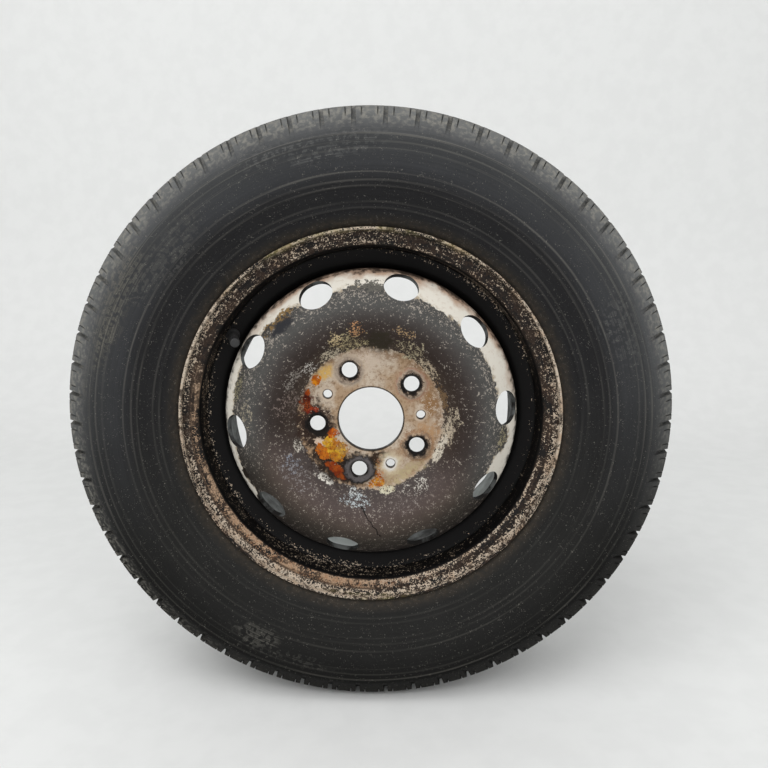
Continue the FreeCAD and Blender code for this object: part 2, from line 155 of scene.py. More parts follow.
def turned(section: Array, angles: Array) -> Array:
    """Turns a section about the axle.

    The point at an angle is (across * cos, along, across * sin).

    Args:
        section: Points of (across, along), in millimetres.
        angles: Angles about the axle, in radians.

    Returns:
        Points in metres, as a grid of angles by section points.
    """
    across, along, angle = section[:, 0], section[:, 1], angles[:, None]
    parts = np.broadcast_arrays(np.cos(angle) * across, along, np.sin(angle) * across)
    return np.stack(parts, axis=-1) * MM


def smooth_step(value: Array, low: float, high: float) -> Array:
    """Rises from 0 at low to 1 at high with level ends."""
    share = np.clip((value - low) / (high - low), 0.0, 1.0)
    return share * share * (3.0 - 2.0 * share)


def circle(count: int) -> Array:
    """Angles once round an axis, in radians."""
    return np.linspace(0.0, FULL_TURN, count, endpoint=False)


def new_object(name: str, data: bpy.types.ID) -> bpy.types.Object:
    """Makes an object at the origin of the scene."""
    made = bpy.data.objects.new(name, data)
    bpy.context.scene.collection.objects.link(made)
    return made


@dataclass
class Patchwork:
    """The patches of one piece, kept as arrays until its mesh is made.

    Attributes:
        points: Vertices of each patch.
        faces: Faces of each patch, as rows of vertex numbers.
        marks: For each face of each patch, 0 on a sheet's outside, 0.5 on its edge and 1 on its inside.
        count: Vertices so far.
    """

    points: list[Array] = field(default_factory=list)
    faces: list[Array] = field(default_factory=list)
    marks: list[Array] = field(default_factory=list)
    count: int = 0

    def add_faces(self, faces: Array, mark: float = 0.0) -> None:
        """Adds faces between points that are already there, all with one mark."""
        self.faces.append(faces)
        self.marks.append(np.full(len(faces), mark))

    def add_grid(self, grid: Array, wrap_rows: bool = False, wrap_columns: bool = False,
                 mark: float = 0.0) -> Array:
        """Adds a grid of points with a quad between each four neighbours.

        Args:
            grid: Points in metres, as rows by columns by three.
            wrap_rows: Whether the last row joins the first.
            wrap_columns: Whether the last column joins the first.
            mark: Mark of the grid's faces.

        Returns:
            The vertex numbers of the grid, as rows by columns.
        """
        rows, columns = grid.shape[:2]
        index = self.count + np.arange(rows * columns).reshape(rows, columns)
        self.points.append(grid.reshape(-1, 3))
        self.count += rows * columns
        if wrap_rows:
            index = np.concatenate([index, index[:1]], axis=0)
        if wrap_columns:
            index = np.concatenate([index, index[:, :1]], axis=1)
        quads = np.stack([index[:-1, :-1], index[1:, :-1], index[1:, 1:], index[:-1, 1:]], axis=-1)
        self.add_faces(quads.reshape(-1, 4), mark)
        return index

    def mesh(self, name: str, sharp_deg: float) -> bpy.types.Mesh:
        """Makes the mesh, closes its seams and turns its faces outwards.

        Args:
            name: Name of the mesh.
            sharp_deg: Angle between faces from which an edge stays sharp, in degrees.

        Returns:
            The smooth mesh, with the marks as its face attribute "inside".
        """
        mesh = bpy.data.meshes.new(name)
        faces = [row for block in self.faces for row in block.tolist()]
        mesh.from_pydata(np.concatenate(self.points).tolist(), [], faces)
        marks = mesh.attributes.new("inside", "FLOAT", "FACE")
        marks.data.foreach_set("value", np.concatenate(self.marks))
        work = bmesh.new()
        work.from_mesh(mesh)
        bmesh.ops.remove_doubles(work, verts=work.verts, dist=2e-6)
        bmesh.ops.dissolve_degenerate(work, edges=work.edges, dist=1e-7)
        bmesh.ops.recalc_face_normals(work, faces=work.faces)
        work.to_mesh(mesh)
        work.free()
        mesh.shade_smooth()
        mesh.set_sharp_from_angle(angle=math.radians(sharp_deg))
        LOG.info("%s: %d faces", name, len(mesh.polygons))
        return mesh

    def piece(self, name: str, body: str, nodes: Sequence[str], slot: str,
              sharp_deg: float) -> bpy.types.Object:
        """Makes the piece and sets it on its body.

        Args:
            name: Name of the piece.
            body: Name of the body that the piece moves with.
            nodes: Solids that the piece stands for.
            slot: Name of the record's material slot; not used.
            sharp_deg: Angle between faces from which an edge stays sharp, in degrees.

        Returns:
            The new object.
        """
        piece = new_object(name, self.mesh(name, sharp_deg))
        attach(piece, body)
        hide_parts(*nodes)
        return piece


# Shader nodes

Number = Union[float, int, "Wire"]
Colour = tuple[float, float, float, float]
Tint = Union[Colour, "Wire"]
Stops = tuple[tuple[float, float], ...]
Shades = tuple[tuple[float, Colour], ...]
BLACK: Colour = (0.0, 0.0, 0.0, 1.0)
FAR = 1.0e6
RAMP_REACH = 400.0
CHIP_SPREAD = 0.42
CHIP_EDGE = (0.69, 0.74)


def srgb(red: int, green: int, blue: int) -> Colour:
    """A colour as it is read off a screen, from 0 to 255, made linear."""
    share = np.array([red, green, blue]) / 255.0
    linear = np.where(share <= 0.04045, share / 12.92, ((share + 0.055) / 1.055) ** 2.4)
    return (float(linear[0]), float(linear[1]), float(linear[2]), 1.0)


class Wire:
    """A node's output, with arithmetic that adds Math nodes to its material."""

    def __init__(self, graph: "Graph", socket: bpy.types.NodeSocket) -> None:
        """Keeps the socket and the graph it belongs to."""
        self.graph = graph
        self.socket = socket

    def __add__(self, other: Number) -> "Wire":
        """This value plus another."""
        return self.graph.math("ADD", self, other)

    __radd__ = __add__

    def __sub__(self, other: Number) -> "Wire":
        """This value less another."""
        return self.graph.math("SUBTRACT", self, other)

    def __rsub__(self, other: Number) -> "Wire":
        """Another value less this one."""
        return self.graph.math("SUBTRACT", other, self)

    def __mul__(self, other: Number) -> "Wire":
        """This value times another."""
        return self.graph.math("MULTIPLY", self, other)

    __rmul__ = __mul__

    def __truediv__(self, other: Number) -> "Wire":
        """This value over another."""
        return self.graph.math("DIVIDE", self, other)

    def __rtruediv__(self, other: Number) -> "Wire":
        """Another value over this one."""
        return self.graph.math("DIVIDE", other, self)

    def ramp(self, low: float, high: float, start: float, end: float) -> "Wire":
        """Goes smoothly from start, where this value is at low, to end, where it is at high."""
        return self.graph.node(
            "ShaderNodeMapRange", {"interpolation_type": "SMOOTHSTEP", "clamp": False},
            {"Value": self, "From Min": low, "From Max": high, "To Min": start, "To Max": end})

    def above(self, low: float, high: float) -> "Wire":
        """Rises smoothly from 0 where this value is at low to 1 where it is at high."""
        return self.ramp(low, high, 0.0, 1.0)

    def below(self, low: float, high: float) -> "Wire":
        """Falls smoothly from 1 where this value is at low to 0 where it is at high."""
        return self.ramp(low, high, 1.0, 0.0)

    def chipped(self, cover: Number) -> "Wire":
        """1 on the given share of a surface, where this noise is highest."""
        low, high = CHIP_EDGE
        shift = cover * CHIP_SPREAD
        if isinstance(shift, Wire):
            return (self + shift).above(low, high)
        return self.above(low - shift, high - shift)

    def most(self, other: Number) -> "Wire":
        """The larger of this value and another."""
        return self.graph.math("MAXIMUM", self, other)

    def least(self, other: Number) -> "Wire":
        """The smaller of this value and another."""
        return self.graph.math("MINIMUM", self, other)


class Graph:
    """The node tree of one material, on the piece's own coordinates."""

    def __init__(self, name: str) -> None:
        """Starts an empty material and reads the place on the piece.

        Args:
            name: Name of the material.
        """
        self.material = bpy.data.materials.new(name)
        self.material.use_nodes = True
        self.tree = self.material.node_tree
        self.tree.nodes.clear()
        self.place = self.node("ShaderNodeTexCoord", output="Object")
        quarter = math.pi / 2.0
        self.x = self.along((-0.5, 0.0, 0.0), (0.0, 0.0, 0.0))
        self.y = self.along((0.0, -0.5, 0.0), (0.0, 0.0, quarter))
        self.z = self.along((0.0, 0.0, -0.5), (0.0, -quarter, 0.0))
        self.radius = METRE - self.gradient("SPHERICAL", size=(1.0, FAR, 1.0)) * METRE
        self.turn = self.gradient("RADIAL", spin=(quarter, 0.0, 0.0), size=(-1.0, -1.0, 1.0))

    def node(self, kind: str, settings: dict[str, Any] | None = None,
             inputs: dict[str | int, Any] | None = None, output: str | int = 0) -> Wire:
        """Adds a node.

        Args:
            kind: The node's type.
            settings: The node's own settings, with a ramp's stops under "stops".
            inputs: Values or wires for its sockets, by name or number.
            output: The output to hand back, by name or number.

        Returns:
            The wire of that output.
        """
        node = self.tree.nodes.new(kind)
        for name, setting in (settings or {}).items():
            if name == "stops":
                for stop, (position, colour) in enumerate(setting):
                    if stop >= len(node.color_ramp.elements):
                        node.color_ramp.elements.new(position)
                    node.color_ramp.elements[stop].position = position
                    node.color_ramp.elements[stop].color = colour
            else:
                setattr(node, name, setting)
        for name, given in (inputs or {}).items():
            if isinstance(given, Wire):
                self.tree.links.new(given.socket, node.inputs[name])
            else:
                node.inputs[name].default_value = given
        return Wire(self, node.outputs[output])

    def gradient(self, kind: str, middle: Triple = (0.0, 0.0, 0.0), spin: Triple = (0.0, 0.0, 0.0),
                 size: Triple = (1.0, 1.0, 1.0)) -> Wire:
        """A gradient in a frame of its own.

        Args:
            kind: LINEAR for the place along the first axis, SPHERICAL for one less the distance from
                the middle, and RADIAL for the share of a turn about the third axis.
            middle: Middle of the frame, in metres.
            spin: Turn of the frame about each axis, in radians.
            size: Length of each of its axes, in metres.

        Returns:
            The gradient, from 0 to 1.
        """
        local = self.node("ShaderNodeMapping", {"vector_type": "TEXTURE"},
                          {"Vector": self.place, "Location": middle, "Rotation": spin, "Scale": size})
        return self.node("ShaderNodeTexGradient", {"gradient_type": kind}, {"Vector": local}, "Fac")

    def along(self, start: Triple, spin: Triple) -> Wire:
        """Place along an axis in millimetres, from a gradient that starts half a metre before 0."""
        return self.gradient("LINEAR", start, spin) * METRE - METRE / 2.0

    def math(self, operation: str, *values: Number) -> Wire:
        """Adds a Math node on values or wires."""
        return self.node("ShaderNodeMath", {"operation": operation}, dict(enumerate(values)))

    def mix(self, share: Number, first: Tint, second: Tint) -> Wire:
        """Goes from the first colour to the second as share goes from 0 to 1."""
        return self.node("ShaderNodeMix", {"data_type": "RGBA"}, {0: share, 6: first, 7: second}, 2)

    def shaded(self, colour: Tint, shade: Wire) -> Wire:
        """A colour times a shade, which may be over 1."""
        settings = {"data_type": "RGBA", "clamp_factor": False}
        return self.node("ShaderNodeMix", settings, {0: shade, 6: BLACK, 7: colour}, 2)

    def noise(self, size: float, detail: float = 3.0, rough: float = 0.55, seed: float = 0.0) -> Wire:
        """Cloudy noise about 0.5.

        Args:
            size: Size of its patches, in millimetres.
            detail: Octaves of finer noise on top.
            rough: Weight of the finer noise.
            seed: Moves the pattern, so that two of them differ.

        Returns:
            The noise, from 0 to 1.
        """
        shift = (seed, seed * 0.7, -seed)
        moved = self.node("ShaderNodeMapping", inputs={"Vector": self.place, "Location": shift})
        inputs = {"Vector": moved, "Scale": 1.0 / (size * MM), "Detail": detail, "Roughness": rough}
        return self.node("ShaderNodeTexNoise", inputs=inputs, output="Fac")

    def streaks(self, length: float, width: float, seed: float = 0.0) -> Wire:
        """Noise drawn out round the axle.

        Args:
            length: Length of a streak, in millimetres at a radius of 200.
            width: Width of a streak, in millimetres.
            seed: Moves the pattern, so that two of them differ.

        Returns:
            The noise, from 0 to 1.
        """
        reach = self.radius.most(1.0) * (length / 200.0)
        drawn = {"X": self.x / reach, "Y": self.z / reach, "Z": (self.radius + self.y) / width + seed}
        around = self.node("ShaderNodeCombineXYZ", inputs=drawn)
        inputs = {"Vector": around, "Scale": 1.0, "Detail": 2.0, "Roughness": 0.6}
        return self.node("ShaderNodeTexNoise", inputs=inputs, output="Fac")

    def around(self, stops: Stops, scale: float = 1.0) -> Wire:
        """A value that goes in straight runs from stop to stop round the axle.

        Args:
            stops: Angles in degrees, from 0 to 360, and the value at each.
            scale: Largest value.

        Returns:
            The value.
        """
        ramp = [(angle / 360.0, (value / scale,) * 4) for angle, value in stops]
        return self.node("ShaderNodeValToRGB", {"stops": ramp}, {"Fac": self.turn}, "Alpha") * scale

    def outwards(self, stops: Shades) -> Wire:
        """A colour that goes from stop to stop with the distance from the axle."""
        ramp = [(radius / RAMP_REACH, colour) for radius, colour in stops]
        return self.node("ShaderNodeValToRGB", {"stops": ramp}, {"Fac": self.radius / RAMP_REACH}, "Color")

    def arc(self, angle: float, half: float, soft: float = 12.0) -> Wire:
        """1 within a sector about the axle, fading out at its two sides.

        Args:
            angle: Middle of the sector, in degrees.
            half: Half of the sector, in degrees.
            soft: Width of the fade, in degrees.

        Returns:
            The sector's mask.
        """
        swing = math.radians(angle)
        turn = (self.x * math.cos(swing) + self.z * math.sin(swing)) / self.radius.most(1.0)
        return turn.above(math.cos(math.radians(min(half + soft / 2, 180.0))),
                          math.cos(math.radians(max(half - soft / 2, 0.0))))

    def patch(self, patch: "Patch", ragged: Wire, grain: Wire) -> Wire:
        """1 on a patch: within its oval, frayed by one noise and crumbled by another.

        The gradient falls from 1 at the patch's middle to 0 at three times its half width, so the
        oval's edge lies where it is two thirds.

        Args:
            patch: The patch.
            ragged: Noise that moves its edge.
            grain: Noise that decides which crumbs stay.

        Returns:
            The patch's mask.
        """
        swing = math.radians(patch.angle)
        middle = (patch.radius * MM * math.cos(swing), 0.0, patch.radius * MM * math.sin(swing))
        inwards = self.gradient("SPHERICAL", middle, (0.0, -swing, 0.0),
                                (3.0 * patch.high * MM, FAR, 3.0 * patch.wide * MM))
        frayed = self.math("MULTIPLY_ADD", ragged, -4.0 / 3.0 * patch.fray, inwards)
        edge = 2.0 / 3.0 * (1.0 - patch.fray)
        return frayed.above(edge - patch.soft / 3.0, edge + patch.soft / 3.0) * grain.chipped(patch.cover)

    def stroke(self, start: tuple[float, float], stop: tuple[float, float], width: float,
               wander: Wire) -> Wire:
        """1 within a thin line between two places seen along the axle.

        Args:
            start: Angle in degrees and radius where the line starts.
            stop: Angle in degrees and radius where it ends.
            width: Half of the line's width.
            wander: Added to the distance from the line, to bend it.

        Returns:
            The line's mask.
        """
        ends = [radius * np.exp(1j * math.radians(angle)) for angle, radius in (start, stop)]
        length = float(abs(ends[1] - ends[0]))
        way = (ends[1] - ends[0]) / length
        cos, sin = float(way.real), float(way.imag)
        across, up = self.x - float(ends[0].real), self.z - float(ends[0].imag)
        along = across * cos + up * sin
        aside = self.math("ABSOLUTE", up * cos - across * sin + wander)
        return aside.below(width * 0.4, width) * along.above(0.0, 2.0) * along.below(length - 2.0, length)

    def finish(self, colour: Tint, rough: Number, metallic: float = 0.0, height: Wire | None = None,
               depth: float = 1.0, shine: float = 0.5) -> bpy.types.Material:
        """Closes the graph with its surface shader.

        Args:
            colour: Base colour.
            rough: Roughness.
            metallic: Metallic share.
            height: Fine relief, from 0 to 1.
            depth: Depth of that relief, in millimetres.
            shine: Level of the surface's reflection, with 0.5 for clean plastic.

        Returns:
            The finished material.
        """
        inputs = {"Base Color": colour, "Roughness": rough, "Metallic": metallic, "Specular IOR Level": shine}
        if height is not None:
            relief = {"Height": height, "Distance": depth * MM, "Strength": 1.0}
            inputs["Normal"] = self.node("ShaderNodeBump", inputs=relief)
        shader = self.node("ShaderNodeBsdfPrincipled", inputs=inputs)
        output = self.tree.nodes.new("ShaderNodeOutputMaterial")
        self.tree.links.new(shader.socket, output.inputs["Surface"])
        return self.material


# Pieces

@dataclass
class Tyre:
    """The worn tubeless tyre, with grooved crown, slotted shoulders and ringed sidewalls.

    Attributes:
        crown: Radius over the middle of the tread.
        curve: Radius of the tread across its width.
        edge: Half of the tread's width.
        edge_round: Radius of the tread's edge.
        foot: Half width and radius at the foot of the shoulder.
        grooves: Middles of the tread grooves.
        groove: Half of a groove's width at its floor and at its mouth.
        groove_depth: Depth of a groove.
        slots: Shoulder slots on each side.
        slot: Half of a slot's width between its walls and outside them.
        slot_depth: Depth of a slot below the tread's edge.
        slot_slope: Fall of a slot's floor, in degrees.
        sipe: Half of a sipe's width between its walls and outside them.
        sipe_rise: How far a sipe's floor lies above a slot's.
        ribs: Where the fine cuts on each of the crown's ribs start and end.
        rib_end: Run over which a fine cut reaches its depth.
        rib_sipe: Depth of the fine cuts across the crown's ribs.
        wall: Sidewall from the bulge to the bead: radius, place along the axle and radius of each bend.
        rings: Moulded lines on the sidewall: radius, height and width.
        ring_fade: Places along the axle between which the lines fade towards the bulge.
        bead_fade: Radii between which the lines come up from the bead.
        wall_step: Columns of the tread to one of the sidewall.
        ground: Level of the floor under the tread.
        liner: Inside of the casing, from bead to bead.
    """

    crown: float = 333.9
    curve: float = 450.0
    edge: float = 84.0
    edge_round: float = 7.0
    foot: tuple[float, float] = (103.5, 302.0)
    grooves: tuple[float, ...] = (-40.0, 0.0, 40.0)
    groove: tuple[float, float] = (2.5, 4.5)
    groove_depth: float = 6.0
    slots: int = 62
    slot: tuple[float, float] = (2.2, 2.5)
    slot_depth: float = 7.0
    slot_slope: float = 36.0
    sipe: tuple[float, float] = (0.45, 0.75)
    sipe_rise: float = 3.2
    ribs: tuple[tuple[float, float], ...] = ((-62.0, -47.0), (-33.0, -7.0), (7.0, 33.0), (47.0, 62.0))
    rib_end: float = 2.0
    rib_sipe: float = 2.4
    wall: Triples = (
        (277.0, 107.4, 70.0), (251.0, 105.4, 60.0), (218.0, 92.5, 16.0), (207.9, 82.7, 3.0),
        (201.4, 76.2, 2.0), (190.1, 76.2, 3.0), (188.6, 58.7, 0.0))
    rings: Triples = (
        (297.5, 0.9, 0.9), (290.0, 0.6, 0.8), (261.0, 0.55, 0.8), (253.0, 0.5, 0.7), (247.0, 0.7, 1.1),
        (226.0, 0.8, 1.6))
    ring_fade: tuple[float, float] = (106.2, 107.2)
    bead_fade: tuple[float, float] = (205.0, 215.0)
    wall_step: int = 4
    ground: float = -332.4
    liner: tuple[tuple[float, float], ...] = ((58.7, 188.6), (98.5, 254.9), (90.9, 302.0), (65.0, 315.0))

    def crown_radius(self, across: Array | float) -> Array | float:
        """The tread's radius: the crown less the square of the distance over twice its curve."""
        return self.crown - np.square(across) / (2.0 * self.curve)

    def tread_section(self) -> Array:
        """The tread's section from the outboard shoulder's foot to the inboard one.

        Each groove drops from the crown's curve to its floor, and the tread's edge is rounded.

        Returns:
            Rows of (radius, along).
        """
        edge = self.crown_radius(self.edge)
        floor_half, mouth_half = self.groove
        corners = [(self.foot[1], -self.foot[0], 0.0), (edge, -self.edge, self.edge_round)]
        for middle in self.grooves:
            floor = self.crown_radius(middle) - self.groove_depth
            start, stop = middle - mouth_half, middle + mouth_half
            corners += [(self.crown_radius(start), start, 0.0), (floor, middle - floor_half, 0.0),
                        (floor, middle + floor_half, 0.0), (self.crown_radius(stop), stop, 0.0)]
        corners += [(edge, self.edge, self.edge_round), (self.foot[1], self.foot[0], 0.0)]
        return divided(rounded(corners, step_deg=20.0), longest=7.0)

    def cut(self, section: Array, side: int, rise: float) -> Array:
        """Sinks a section to the floor of a shoulder slot.

        The floor is a line below the tread's edge, and what stands over it moves down square to it.

        Args:
            section: Rows of (radius, along).
            side: -1 for the outboard shoulder and 1 for the inboard one.
            rise: Height of this floor above the deepest one.

        Returns:
            The section with the slot in it.
        """
        slope = math.radians(self.slot_slope)
        square = np.array([math.cos(slope), side * math.sin(slope)])
        edge = np.array([self.crown_radius(self.edge), side * self.edge])
        over = np.maximum((section - edge) @ square + self.slot_depth - rise, 0.0)
        over = np.where(section[:, 1] * side > self.edge / 2, over, 0.0)
        return section - over[:, None] * square

    def ribbed(self, section: Array) -> Array:
        """Sinks the crown's ribs by the depth of their fine cuts, and leaves the grooves."""
        across = section[:, 1]
        rib = np.zeros(len(across))
        for low, high in self.ribs:
            start = smooth_step(across, low, low + self.rib_end)
            stop = smooth_step(across, high - self.rib_end, high)
            rib = np.maximum(rib, start * (1.0 - stop))
        return section - np.stack([rib * self.rib_sipe, np.zeros(len(across))], axis=1)

    def tread_grid(self) -> Array:
        """The tread as a grid of sixteen columns to a pitch.

        A column lies on each side of every slot's and sipe's wall, and takes the section cut to the
        floor where it is inside and the plain section where it is outside.

        Returns:
            Points in metres, as angles by section points.
        """
        section = self.tread_section()
        pitch = FULL_TURN / self.slots
        wide, thin = (np.array([-outer, -inner, inner, outer]) / self.crown
                      for inner, outer in (self.slot, self.sipe))
        fine = self.ribbed(self.cut(self.cut(section, -1, self.sipe_rise), 1, self.sipe_rise))
        plans = [(0.0, wide, self.cut(section, -1, 0.0)), (0.25, thin, fine),
                 (0.5, wide, self.cut(section, 1, 0.0)), (0.75, thin, fine)]
        columns = []
        for share, walls, sunk in plans:
            for angle, inside in zip(share * pitch + walls, (False, True, True, False)):
                columns.append(turned(sunk if inside else section, angle + pitch * np.arange(self.slots)))
        grid = np.stack(columns, axis=1)
        return grid.reshape(-1, *grid.shape[2:])

    def sidewall_section(self, side: int, longest: float) -> Array:
        """The sidewall from the shoulder's foot over the bulge to the bead seat.

        The moulded lines stand out from the wall as bell curves about their radii.

        Args:
            side: -1 for the outboard wall and 1 for the inboard one.
            longest: Longest run between two points.

        Returns:
            Rows of (radius, along).
        """
        corners = [(self.foot[1], self.foot[0], 0.0), *self.wall]
        section = divided(rounded(corners, step_deg=8.0), longest)
        radius, along = section[:, 0], section[:, 1]
        bells = [height * np.exp(-np.square((radius - level) / width)) for level, height, width in self.rings]
        fade = 1.0 - smooth_step(along, *self.ring_fade) * 0.8
        proud = sum(bells) * fade * smooth_step(radius, *self.bead_fade)
        widest = self.wall[0][1]
        section = section + np.stack([np.zeros(len(radius)), np.minimum(proud, widest - along)], axis=1)
        return section * np.array([1.0, side])

    def build(self) -> bpy.types.Object:
        """Builds the tyre as one closed shell: tread, two sidewalls and the casing's inside.

        The sidewalls have a quarter of the tread's columns, so the faces at the shoulder's foot take
        four edges of the tread each. The underside is flattened to the floor's level.

        Returns:
            The tyre.
        """
        work = Patchwork()
        tread = self.tread_grid()
        index = work.add_grid(tread, wrap_rows=True)
        angles = np.arctan2(tread[:, 0, 2], tread[:, 0, 0])
        step = self.wall_step
        coarse = angles[::step]
        for side, column, longest in ((-1, 0, 1.5), (1, -1, 3.5)):
            wall = work.add_grid(turned(self.sidewall_section(side, longest)[1:], coarse), wrap_rows=True)
            foot = index[:, column]
            edges = [foot[shift:shift + len(tread):step] for shift in range(step)]
            edges += [np.roll(foot[:-1:step], -1), wall[1:, 0], wall[:-1, 0]]
            work.add_faces(np.stack(edges, axis=1))
        outboard = [(radius, -along) for along, radius in self.liner]
        inside = outboard + [(radius, -along) for radius, along in outboard[::-1]]
        work.add_grid(turned(np.array(inside), coarse), wrap_rows=True)
        for block in work.points:
            block[:, 2] = np.maximum(block[:, 2], self.ground * MM)
        return work.piece("tyre_dressed", "wheel", ["tyre"], "tyre_rubber", 32.0)


@dataclass
class Rim:
    """The rolled rim with its curled flanges, bead seats and drop centre.

    Attributes:
        corners: Tyre side of the sheet: radius, place along the axle and radius of each bend.
        gauge: Thickness of the sheet.
        columns: Steps round the axle.
    """

    corners: Triples = (
        (207.4, -87.5, 0.0), (207.4, -76.2, 9.5), (190.1, -76.2, 6.5), (187.74, -49.2, 7.0),
        (166.04, -42.97, 8.0), (166.04, -15.97, 14.0), (185.0, 18.03, 30.0), (190.1, 76.2, 6.5),
        (207.4, 76.2, 9.5), (207.4, 87.5, 0.0))
    gauge: float = 3.0
    columns: int = 240

    def build(self) -> bpy.types.Object:
        """Builds the rim as one closed shell with half-round lips.

        Returns:
            The rim.
        """
        tyre_side = divided(rounded(self.corners, step_deg=9.0), longest=15.0)
        loop = sheet_loop(tyre_side, offset(tyre_side, -self.gauge))
        work = Patchwork()
        work.add_grid(turned(loop, circle(self.columns)), wrap_rows=True, wrap_columns=True)
        return work.piece("rim_dressed", "wheel", ["rim"], "rim_paint", 40.0)


class Hole(Enum):
    """What a sector of the disc's mounting area holds."""

    BOLT = "bolt seat"
    PILOT = "pilot hole"
    NONE = "plain sheet"


@dataclass
class Disc:
    """The pressed disc with its mounting area, hump, vents and skirt.

    It is built in ten sectors, each with a vent, and with a bolt seat, a pilot hole or plain sheet.

    Attributes:
        corners: Outboard face of the sheet: radius, place along the axle and radius of each bend.
        gauge: Thickness of the sheet.
        first: Angle of the first bolt, in degrees.
        bolt_circle: Radius of the bolts' circle.
        bolt_hole: Radius of a bolt hole.
        seat: Radius of a bolt seat's mouth.
        seat_rings: Radii of the rings of points round a bolt seat.
        land: Straight part of a bolt hole at the hub face.
        boss_height: Height of the boss round a bolt seat.
        boss: Radii where the boss starts and ends its fall.
        pilot_circle: Radius of the pilot holes' circle.
        pilot_hole: Radius of a pilot hole.
        hole_rings: Rings of points round a plain hole, from its edge.
        hub_shares: Rows from the last ring to the sector's border, as shares of the way.
        hub_border: Radius where the mounting area's patch ends on the hump's flank.
        vent_at: Radius and level of a vent's middle.
        vent: Radius of a vent.
        vent_reach: How far a vent's patch runs to each side along the sheet.
        vent_shares: Rows from the vent's edge to the sector's border, as shares of the way.
        slope: Slope of the vents' flank, in degrees.
        edge_round: Bevel of the sheet's edges.
        across: Steps of a sector round the axle.
        up: Steps of a sector's patch along the sheet.
        crest_rows: Rows over the hump between the two patches.
        skirt_rows: Rows down the skirt.
        holes: What each sector's mounting area holds, in order.
    """

    corners: Triples = (
        (35.55, -73.0, 0.0), (79.0, -73.0, 12.0), (101.0, -97.0, 18.0), (129.2, -97.0, 36.0),
        (163.04, -60.7, 20.0), (163.04, -22.0, 0.0))
    gauge: float = 5.0
    first: float = 41.2
    bolt_circle: float = 59.0
    bolt_hole: float = 8.5
    seat: float = 12.0
    seat_rings: tuple[float, ...] = (12.7, 13.4, 14.3, 15.3, 16.4, 17.6)
    land: float = 1.5
    boss_height: float = 2.5
    boss: tuple[float, float] = (13.4, 17.6)
    pilot_circle: float = 55.0
    pilot_hole: float = 4.75
    hole_rings: tuple[float, ...] = (0.0, 0.6, 1.6, 3.2)
    hub_shares: tuple[float, ...] = (0.15, 0.35, 0.6, 0.8, 1.0)
    hub_border: float = 88.0
    vent_at: tuple[float, float] = (148.34, -76.5)
    vent: float = 18.85
    vent_reach: float = 25.0
    vent_shares: tuple[float, ...] = (0.0, 0.05, 0.13, 0.27, 0.5, 0.75, 1.0)
    slope: float = 47.0
    edge_round: float = 0.5
    across: int = 26
    up: int = 14
    crest_rows: int = 13
    skirt_rows: int = 9
    holes: tuple[Hole, ...] = (Hole.BOLT, Hole.NONE, Hole.BOLT, Hole.PILOT, Hole.BOLT, Hole.NONE, Hole.BOLT,
                               Hole.PILOT, Hole.BOLT, Hole.PILOT)

    def __post_init__(self) -> None:
        """Works out the two faces of the sheet along the section."""
        self.outer = divided(rounded(self.corners, step_deg=6.0), longest=3.0)
        self.inner = offset(self.outer, -self.gauge)
        self.length = run_length(self.outer)
        self.half_sector = math.pi / len(self.holes)
        self.middles = math.radians(self.first) + 2.0 * self.half_sector * np.arange(len(self.holes))
        self.hub_end = float(np.interp(self.hub_border, self.outer[:, 0], self.length))
        flank = np.abs(self.outer - np.array(self.vent_at)).sum(axis=1)
        self.vent_level = float(self.length[np.argmin(flank)])

    def at(self, face: Array, length: Array) -> tuple[Array, Array]:
        """Radius and level of a face at places along the section."""
        return np.interp(length, self.length, face[:, 0]), np.interp(length, self.length, face[:, 1])

    def sweep(self, middle: float) -> Array:
        """Angles across a sector in even steps."""
        return middle + np.linspace(-self.half_sector, self.half_sector, self.across + 1)

    def surface(self, face: Array, angle: Array, length: Array) -> Array:
        """Points of a face in metres.

        The point is (radius * cos, level, radius * sin).

        Args:
            face: The sheet's outer or inner face.
            angle: Angles about the axle, in radians.
            length: Places along the section.

        Returns:
            Points in metres.
        """
        radius, level = self.at(face, length)
        parts = np.broadcast_arrays(radius * np.cos(angle), level, radius * np.sin(angle))
        return np.stack(parts, axis=-1) * MM

    def border(self, middle: float, low: float, high: float) -> tuple[Array, Array]:
        """Angles and lengths once round the edge of a sector's patch.

        Args:
            middle: Angle of the sector's middle.
            low: Place along the section where the patch starts.
            high: Place along the section where it ends.

        Returns:
            The angles and the lengths, in order round the patch.
        """
        half = self.half_sector
        swing = self.sweep(0.0)[:-1]
        climb = np.linspace(low, high, self.up + 1)[:-1]
        angle = np.concatenate([swing, np.full(self.up, half), -swing, np.full(self.up, -half)])
        level = [np.full(self.across, low), climb, np.full(self.across, high), low + high - climb]
        return middle + angle, np.concatenate(level)

